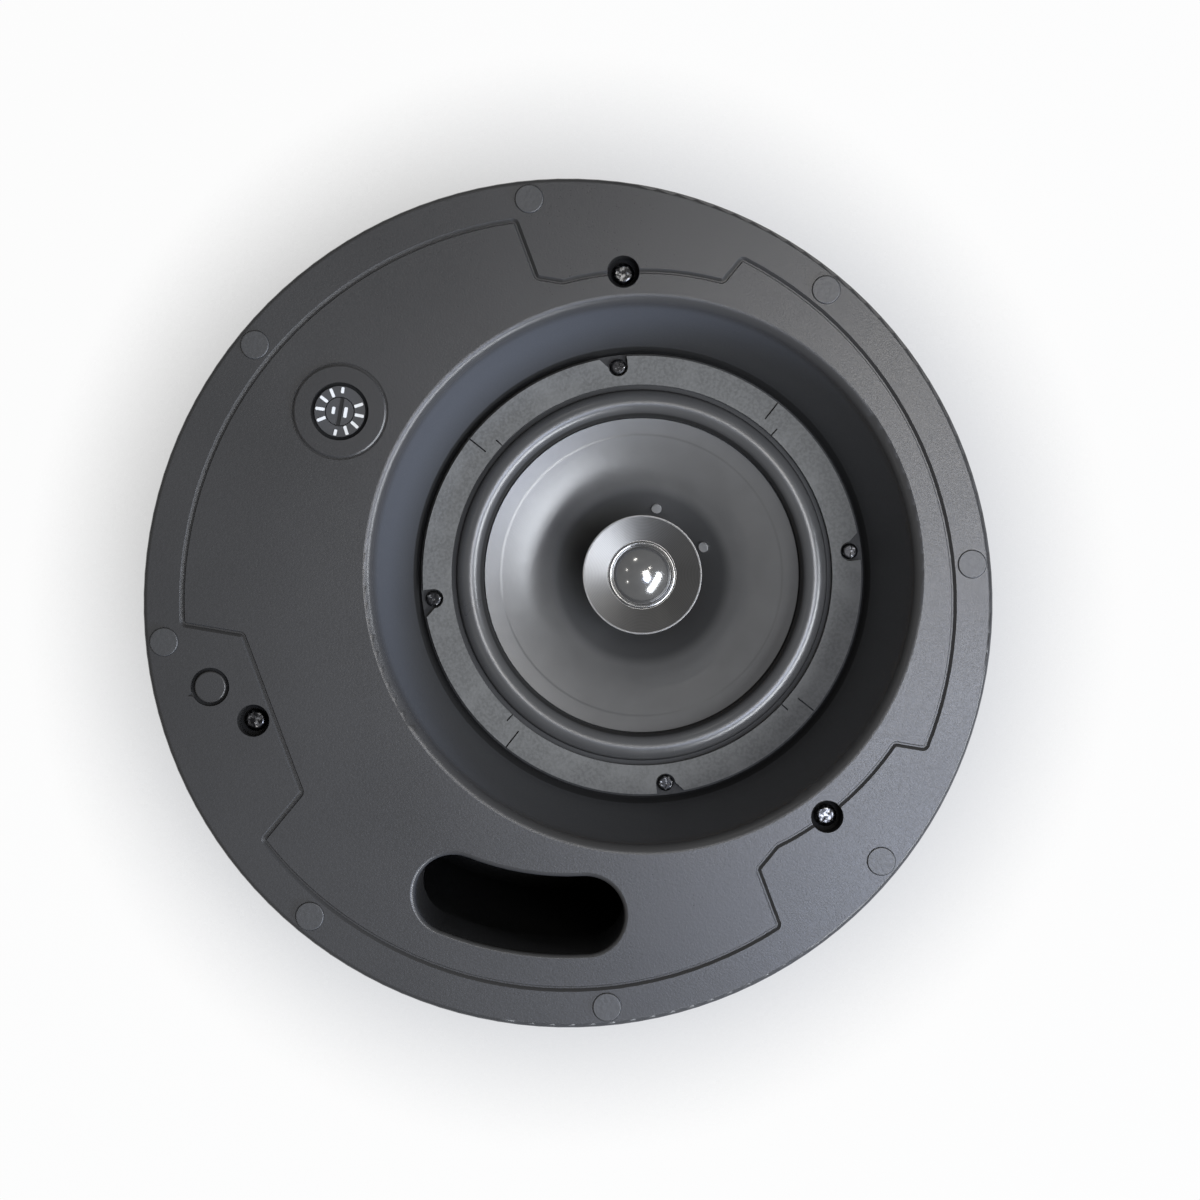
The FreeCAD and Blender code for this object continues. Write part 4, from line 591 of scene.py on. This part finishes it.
bpy.ops.object.select_all(action="DESELECT")
bpy.ops.mesh.primitive_circle_add(vertices=ROLL_SEGMENTS, radius=ROLL_RADIUS - RUBBER_THICK / 2)
roll = bpy.context.object
roll.rotation_euler = (math.pi / 2, 0, 0)
roll_foot = (ROLL_MIDDLE, 0, surround_box[1].z - ROLL_RADIUS)
roll.location = roll_foot
bpy.ops.object.transform_apply(location=True, rotation=True, scale=True)
bpy.ops.object.mode_set(mode="EDIT")
bpy.ops.mesh.select_all(action="SELECT")
bpy.ops.mesh.bisect(plane_co=roll_foot, plane_no=(0, 0, 1), clear_inner=True)
pick_vertex(roll, lambda vertex: -vertex.co.x)
pull((0, 0, -RUBBER_THICK / 2))
pull((RIM_LAND, 0, 0))
pick_vertex(roll, lambda vertex: vertex.co.x)
pull((0, 0, -CONE_LEG))
pull(CONE_LAND)
spin_sector(roll, RUBBER_THICK)
roll.data.materials.append(rubber.material)
bend_sectors(roll, "surround")

# Cone and lead eyelets
# A thin cone moulded in mica-filled plastic, with a satin face that shines as a shallower cone
# would, a faint ring near its edge, painted shade round its neck and two bright eyelets.
CONE_GREY = (0.07, 0.069, 0.067, 1)
CONE_PALE = (0.085, 0.084, 0.082, 1)
CONE_NECK_SHADE = (0.008, 0.008, 0.008, 1)
CONE_NECK_SHADE_EDGE = 0.0355
CONE_NECK_SHADE_FULL = 0.0305
CONE_RING = 0.0527
CONE_RING_WIDTH = 0.0005
CONE_SHALLOWER = 1900
CONE_CLOUDS = 120
CONE_RINGS = 2200
CONE_RELIEF = 0.0001
CONE_RINGS_SHARE = 0.04
CONE_ROUGHNESS = 0.3
CONE_CLOUD_DULL = 0.06
CONE_RINGS_DULL = 0.02
CONE_NECK_SHADE_DULL = 0.3
PLATE_DULL = (0.75, 0.75, 0.74, 1)
PLATE_BRIGHT = (0.85, 0.85, 0.85, 1)
PLATE_SCRATCHES = 1200
PLATE_SCRATCH_DULL = 0.1
PLATE_ROUGHNESS = 0.25
satin = Finish("cone_satin", {"Specular IOR Level": 1.0})
spot = satin.spot((driver_at.x, driver_at.y, 0))
across = satin.radius(spot)
rings = satin.wave(across, CONE_RINGS)
cloud = satin.noise(spot, CONE_CLOUDS, CLOUD_DETAIL)
step = satin.between(across, CONE_RING - CONE_RING_WIDTH, CONE_RING + CONE_RING_WIDTH)
# Painted shade: near-black round the neck, where the tweeter shades the cone.
neck_shade = satin.between(across, CONE_NECK_SHADE_EDGE, CONE_NECK_SHADE_FULL)
satin.feed("Base Color", satin.mix(neck_shade, satin.mix(cloud, CONE_GREY, CONE_PALE), CONE_NECK_SHADE))
dull = cloud * CONE_CLOUD_DULL + rings * CONE_RINGS_DULL + neck_shade * CONE_NECK_SHADE_DULL
satin.feed("Roughness", dull + CONE_ROUGHNESS)
satin.bump(rings * CONE_RINGS_SHARE + step - across * CONE_SHALLOWER, CONE_RELIEF)
dress(satin, "cone")
bright = Finish("bright_plate", {"Metallic": 0.8})
spot = bright.spot()
rub = bright.noise(spot, PLATE_SCRATCHES)
bright.feed("Base Color", bright.mix(rub, PLATE_DULL, PLATE_BRIGHT))
bright.feed("Roughness", rub * PLATE_SCRATCH_DULL + PLATE_ROUGHNESS)
dress(bright, "lead_eyelets", "tweeter_magnet")

# Voice coil, former and spider
# Copper wire wound on an amber film tube, centred by a corrugated resin-dipped cloth.
AMBER = (0.42, 0.2, 0.05, 1)
AMBER_PALE = (0.5, 0.26, 0.07, 1)
COPPER_DARK = (0.32, 0.12, 0.06, 1)
COPPER = (0.62, 0.28, 0.15, 1)
COPPER_TURNS = 2500
COPPER_TURN_HEIGHT = 0.00008
COPPER_TURN_DULL = 0.05
COPPER_ROUGHNESS = 0.32
CLOTH_BROWN = (0.3, 0.2, 0.09, 1)
CLOTH_PALE = (0.52, 0.38, 0.2, 1)
CLOTH_THREADS = 1300
CLOTH_THREAD_HEIGHT = 0.0001
CLOTH_THREAD_DULL = 0.1
CLOTH_ROUGHNESS = 0.75
film = moulding("amber_film", AMBER, AMBER_PALE, roughness=0.25, grain=400, depth=0.00001)
dress(film, "voice_coil_former")
copper = Finish("copper_wire", {"Metallic": 1.0})
spot = copper.spot()
turns = copper.wave(copper.part(spot, "Z"), COPPER_TURNS)
copper.feed("Base Color", copper.mix(copper.share(turns), COPPER_DARK, COPPER))
copper.feed("Roughness", turns * COPPER_TURN_DULL + COPPER_ROUGHNESS)
copper.bump(turns, COPPER_TURN_HEIGHT)
dress(copper, "voice_coil", "inductor")
cloth = Finish("spider_cloth", {"Specular IOR Level": 0.2})
spot = cloth.spot()
warp = cloth.wave(cloth.part(spot, "X"), CLOTH_THREADS)
weave = warp * cloth.wave(cloth.part(spot, "Y"), CLOTH_THREADS)
cloth.feed("Base Color", cloth.mix(cloth.share(weave), CLOTH_BROWN, CLOTH_PALE))
cloth.feed("Roughness", weave * CLOTH_THREAD_DULL + CLOTH_ROUGHNESS)
cloth.bump(weave, CLOTH_THREAD_HEIGHT)
CLOTH_THICK = 0.0005
CLOTH_WAVES = 3
CLOTH_WAVE_HEIGHT = 0.0016
CLOTH_WAVE_POINTS = 12
CLOTH_EDGE = 0.0492
CLOTH_SHELF = 0.0425
CLOTH_BORE = 0.016
spider_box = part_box("spider")
cloth_seat = spider_box[0].z + CLOTH_THICK / 2
bpy.ops.object.select_all(action="DESELECT")
bpy.ops.mesh.primitive_plane_add(size=CLOTH_THICK, location=(0, 0, 0))
disc = bpy.context.object
bpy.ops.object.mode_set(mode="EDIT")
bpy.ops.mesh.select_all(action="SELECT")
bpy.ops.mesh.merge(type="CENTER")
bpy.ops.transform.translate(value=(CLOTH_EDGE, 0, cloth_seat))
pull((CLOTH_SHELF - CLOTH_EDGE, 0, 0))
steps = CLOTH_WAVES * CLOTH_WAVE_POINTS
height = 0.0
for number in range(1, steps + 1):
    phase = 2 * math.pi * number / CLOTH_WAVE_POINTS
    rise = CLOTH_WAVE_HEIGHT * (1 - math.cos(phase)) / 2
    pull(((CLOTH_BORE - CLOTH_SHELF) / steps, 0, rise - height))
    height = rise
spin_sector(disc, CLOTH_THICK)
disc.data.materials.append(cloth.material)
bend_sectors(disc, "spider")

# Motor
# Plated steel plate and yoke with a fired ferrite ring between them.
ZINC = (0.5, 0.5, 0.49, 1)
ZINC_DULL = (0.36, 0.36, 0.36, 1)
ZINC_CLOUDS = 90
ZINC_CLOUD_DETAIL = 4.0
ZINC_GRAIN = 1400
ZINC_CLOUD_DULL = 0.25
ZINC_GRAIN_DULL = 0.1
ZINC_ROUGHNESS = 0.2
FERRITE = (0.045, 0.045, 0.046, 1)
FERRITE_PALE = (0.07, 0.069, 0.068, 1)
zinc = Finish("zinc_plate", {"Metallic": 1.0})
spot = zinc.spot()
cloud = zinc.noise(spot, ZINC_CLOUDS, ZINC_CLOUD_DETAIL)
fine = zinc.noise(spot, ZINC_GRAIN)
zinc.feed("Base Color", zinc.mix(cloud, ZINC_DULL, ZINC))
zinc.feed("Roughness", cloud * ZINC_CLOUD_DULL + fine * ZINC_GRAIN_DULL + ZINC_ROUGHNESS)
dress(zinc, "top_plate", "yoke", "tweeter_post", "post_nut", "tweeter_washer")
fired = moulding("fired_ferrite", FERRITE, FERRITE_PALE, roughness=0.6, grain=1600, depth=0.00008)
dress(fired, "ferrite_magnet")

# Tweeter bezel
# A ring spun from aluminium and dyed grey, with the fine rings that the tool left in its dish.
SPUN_GREY = (0.12, 0.118, 0.115, 1)
SPUN_PALE = (0.16, 0.158, 0.154, 1)
SPUN_LINES = 1900
SPUN_LINE_HEIGHT = 0.000006
SPUN_GRAIN = 1400
SPUN_LINE_DULL = 0.04
SPUN_GRAIN_DULL = 0.1
SPUN_ROUGHNESS = 0.3
spun = Finish("spun_aluminium", {"Metallic": 1.0})
spot = spun.spot((driver_at.x, driver_at.y, 0))
lines = spun.wave(spun.radius(spot), SPUN_LINES)
fine = spun.noise(spot, SPUN_GRAIN)
spun.feed("Base Color", spun.mix(spun.share(lines), SPUN_GREY, SPUN_PALE))
spun.feed("Roughness", lines * SPUN_LINE_DULL + fine * SPUN_GRAIN_DULL + SPUN_ROUGHNESS)
spun.bump(lines, SPUN_LINE_HEIGHT)
dress(spun, "tweeter_bezel")

# Tweeter dome
# A thin glossy dome pressed in one with its narrow roll.
DOME_GREY = (0.3, 0.3, 0.3, 1)
DOME_PALE = (0.36, 0.36, 0.357, 1)
DOME_CLOUDS = 300
DOME_CLOUD_DULL = 0.06
DOME_ROUGHNESS = 0.12
gloss = Finish("dome_gloss", {"Metallic": 0.9, "Coat Weight": 0.6, "Coat Roughness": 0.04})
spot = gloss.spot()
cloud = gloss.noise(spot, DOME_CLOUDS)
gloss.feed("Base Color", gloss.mix(cloud, DOME_GREY, DOME_PALE))
gloss.feed("Roughness", cloud * DOME_CLOUD_DULL + DOME_ROUGHNESS)
dress(gloss, "tweeter_dome")

# Back can and its seal
# A deep can moulded in black plastic with a coarse grain, closed on a foam seal.
CAN_BLACK = (0.017, 0.017, 0.017, 1)
CAN_PALE = (0.024, 0.0238, 0.0235, 1)
FOAM_BLACK = (0.02, 0.02, 0.02, 1)
FOAM_PALE = (0.032, 0.032, 0.032, 1)
can = moulding("can_plastic", CAN_BLACK, CAN_PALE, roughness=0.5, grain=800, depth=0.0001)
dress(can, "back_can")
foam = moulding("seal_foam", FOAM_BLACK, FOAM_PALE, roughness=0.85, grain=1500, depth=0.0003)
dress(foam, "can_seal")

# Terminals and safety bracket
# A black cup let into the can's rear with a screw block in it, and a plated steel strap
# riveted to the flat of one clamp pocket for the safety wire.
dress(black, "terminal_cup", "terminal_block")
dress(zinc, "terminal_screws", "safety_bracket")

# Line transformer
# Stacked iron laminations round a taped winding, strapped to the can's floor.
IRON_DARK = (0.06, 0.058, 0.055, 1)
IRON = (0.16, 0.155, 0.15, 1)
IRON_SHEETS = 1600
IRON_SHEET_HEIGHT = 0.00006
IRON_SHEET_DULL = 0.08
IRON_ROUGHNESS = 0.5
TAPE_YELLOW = (0.5, 0.36, 0.05, 1)
TAPE_PALE = (0.56, 0.42, 0.08, 1)
stack = Finish("lamination_stack", {"Metallic": 0.7})
spot = stack.spot()
edges = stack.wave(stack.part(spot, "Y"), IRON_SHEETS)
stack.feed("Base Color", stack.mix(stack.share(edges), IRON_DARK, IRON))
stack.feed("Roughness", edges * IRON_SHEET_DULL + IRON_ROUGHNESS)
stack.bump(edges, IRON_SHEET_HEIGHT)
dress(stack, "transformer_core")
tape = moulding("yellow_tape", TAPE_YELLOW, TAPE_PALE, roughness=0.35, grain=500, depth=0.00004)
dress(tape, "transformer_coil", "capacitors")
dress(zinc, "transformer_bracket")

# Crossover
# A green board on natural nylon spacers, with one coil and two film capacitors.
BOARD_GREEN = (0.015, 0.11, 0.04, 1)
BOARD_PALE = (0.02, 0.16, 0.06, 1)
NYLON_CREAM = (0.66, 0.64, 0.58, 1)
NYLON_PALE = (0.74, 0.73, 0.68, 1)
board = moulding("solder_mask", BOARD_GREEN, BOARD_PALE, roughness=0.35, grain=250, depth=0.00003)
dress(board, "crossover_board")
nylon = moulding("natural_nylon", NYLON_CREAM, NYLON_PALE, roughness=0.5, grain=900, depth=0.00003)
dress(nylon, "board_spacers")

# Ceiling clamps
# Black-plated cross-head screws that draw a brass bush and a black nylon arm up to the ceiling.
# The thread stands out from each screw's shank as a ridge wound round it.
BLACK_PLATE = (0.03, 0.03, 0.031, 1)
BLACK_PLATE_WORN = (0.3, 0.3, 0.3, 1)
BLACK_PLATE_SCRATCHES = 800
BLACK_PLATE_WEAR = (0.45, 0.7)
BLACK_PLATE_SCRATCH_DULL = 0.15
BLACK_PLATE_ROUGHNESS = 0.2
plate = Finish("black_plate", {"Metallic": 1.0})
spot = plate.spot()
rub = plate.noise(spot, BLACK_PLATE_SCRATCHES, CLOUD_DETAIL)
worn = plate.between(rub, *BLACK_PLATE_WEAR)
plate.feed("Base Color", plate.mix(worn, BLACK_PLATE, BLACK_PLATE_WORN))
plate.feed("Roughness", rub * BLACK_PLATE_SCRATCH_DULL + BLACK_PLATE_ROUGHNESS)
BRASS_DARK = (0.5, 0.33, 0.11, 1)
BRASS = (0.62, 0.43, 0.17, 1)
BRASS_LINES = 1800
BRASS_LINE_HEIGHT = 0.00001
BRASS_LINE_DULL = 0.04
BRASS_ROUGHNESS = 0.28
ARM_BLACK = (0.018, 0.018, 0.018, 1)
ARM_PALE = (0.03, 0.03, 0.029, 1)
brass = Finish("turned_brass", {"Metallic": 1.0})
spot = brass.spot()
lines = brass.wave(brass.part(spot, "Z"), BRASS_LINES)
brass.feed("Base Color", brass.mix(brass.share(lines), BRASS_DARK, BRASS))
brass.feed("Roughness", lines * BRASS_LINE_DULL + BRASS_ROUGHNESS)
brass.bump(lines, BRASS_LINE_HEIGHT)
glass_nylon = moulding("filled_nylon", ARM_BLACK, ARM_PALE, roughness=0.55, grain=1100, depth=0.00008)
THREAD_PITCH = 0.002
THREAD_RADIUS = 0.0024
THREAD_RISE = 0.00025
THREAD_STEPS = 24
THREAD_LOW = 0.0022
THREAD_HIGH = 0.0065
THREAD_STRETCH = 2.4
THREAD_CORNERS = 3
for clamp in CLAMPS:
    dress(plate, f"clamp_screw_{clamp}")
    dress(brass, f"clamp_bush_{clamp}")
    dress(glass_nylon, f"clamp_arm_{clamp}")
    screw_low, screw_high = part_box(f"clamp_screw_{clamp}")
    bpy.ops.object.select_all(action="DESELECT")
    bpy.ops.mesh.primitive_circle_add(vertices=THREAD_CORNERS, radius=THREAD_RISE, fill_type="NOTHING")
    thread = bpy.context.object
    thread.name = f"clamp_thread_{clamp}"
    thread.rotation_euler = (math.pi / 2, 0, 0)
    bpy.ops.object.transform_apply(location=False, rotation=True, scale=False)
    bpy.ops.object.mode_set(mode="EDIT")
    bpy.ops.mesh.select_all(action="SELECT")
    bpy.ops.transform.rotate(value=math.pi / 2, orient_axis="Y", center_override=(0, 0, 0))
    bpy.ops.transform.resize(value=(1, 1, THREAD_STRETCH), center_override=(0, 0, 0))
    bpy.ops.transform.translate(value=(THREAD_RADIUS, 0, 0))
    bpy.ops.object.mode_set(mode="OBJECT")
    helix = thread.modifiers.new("helix", "SCREW")
    helix.screw_offset = THREAD_PITCH
    threaded = screw_high.z - screw_low.z - THREAD_LOW - THREAD_HIGH
    helix.iterations = int(threaded / THREAD_PITCH)
    helix.steps = THREAD_STEPS
    helix.render_steps = THREAD_STEPS
    bpy.ops.object.modifier_apply(modifier=helix.name)
    bpy.ops.object.mode_set(mode="EDIT")
    bpy.ops.mesh.select_all(action="SELECT")
    bpy.ops.mesh.normals_make_consistent(inside=False)
    bpy.ops.object.mode_set(mode="OBJECT")
    bpy.ops.object.shade_smooth_by_angle(angle=SMOOTH_ANGLE)
    middle = (screw_low + screw_high) / 2
    thread.location = (middle.x, middle.y, screw_low.z + THREAD_LOW)
    bpy.ops.object.transform_apply(location=True, rotation=True, scale=True)
    thread.data.materials.append(plate.material)
    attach(thread, f"clamp_screw_{clamp}")
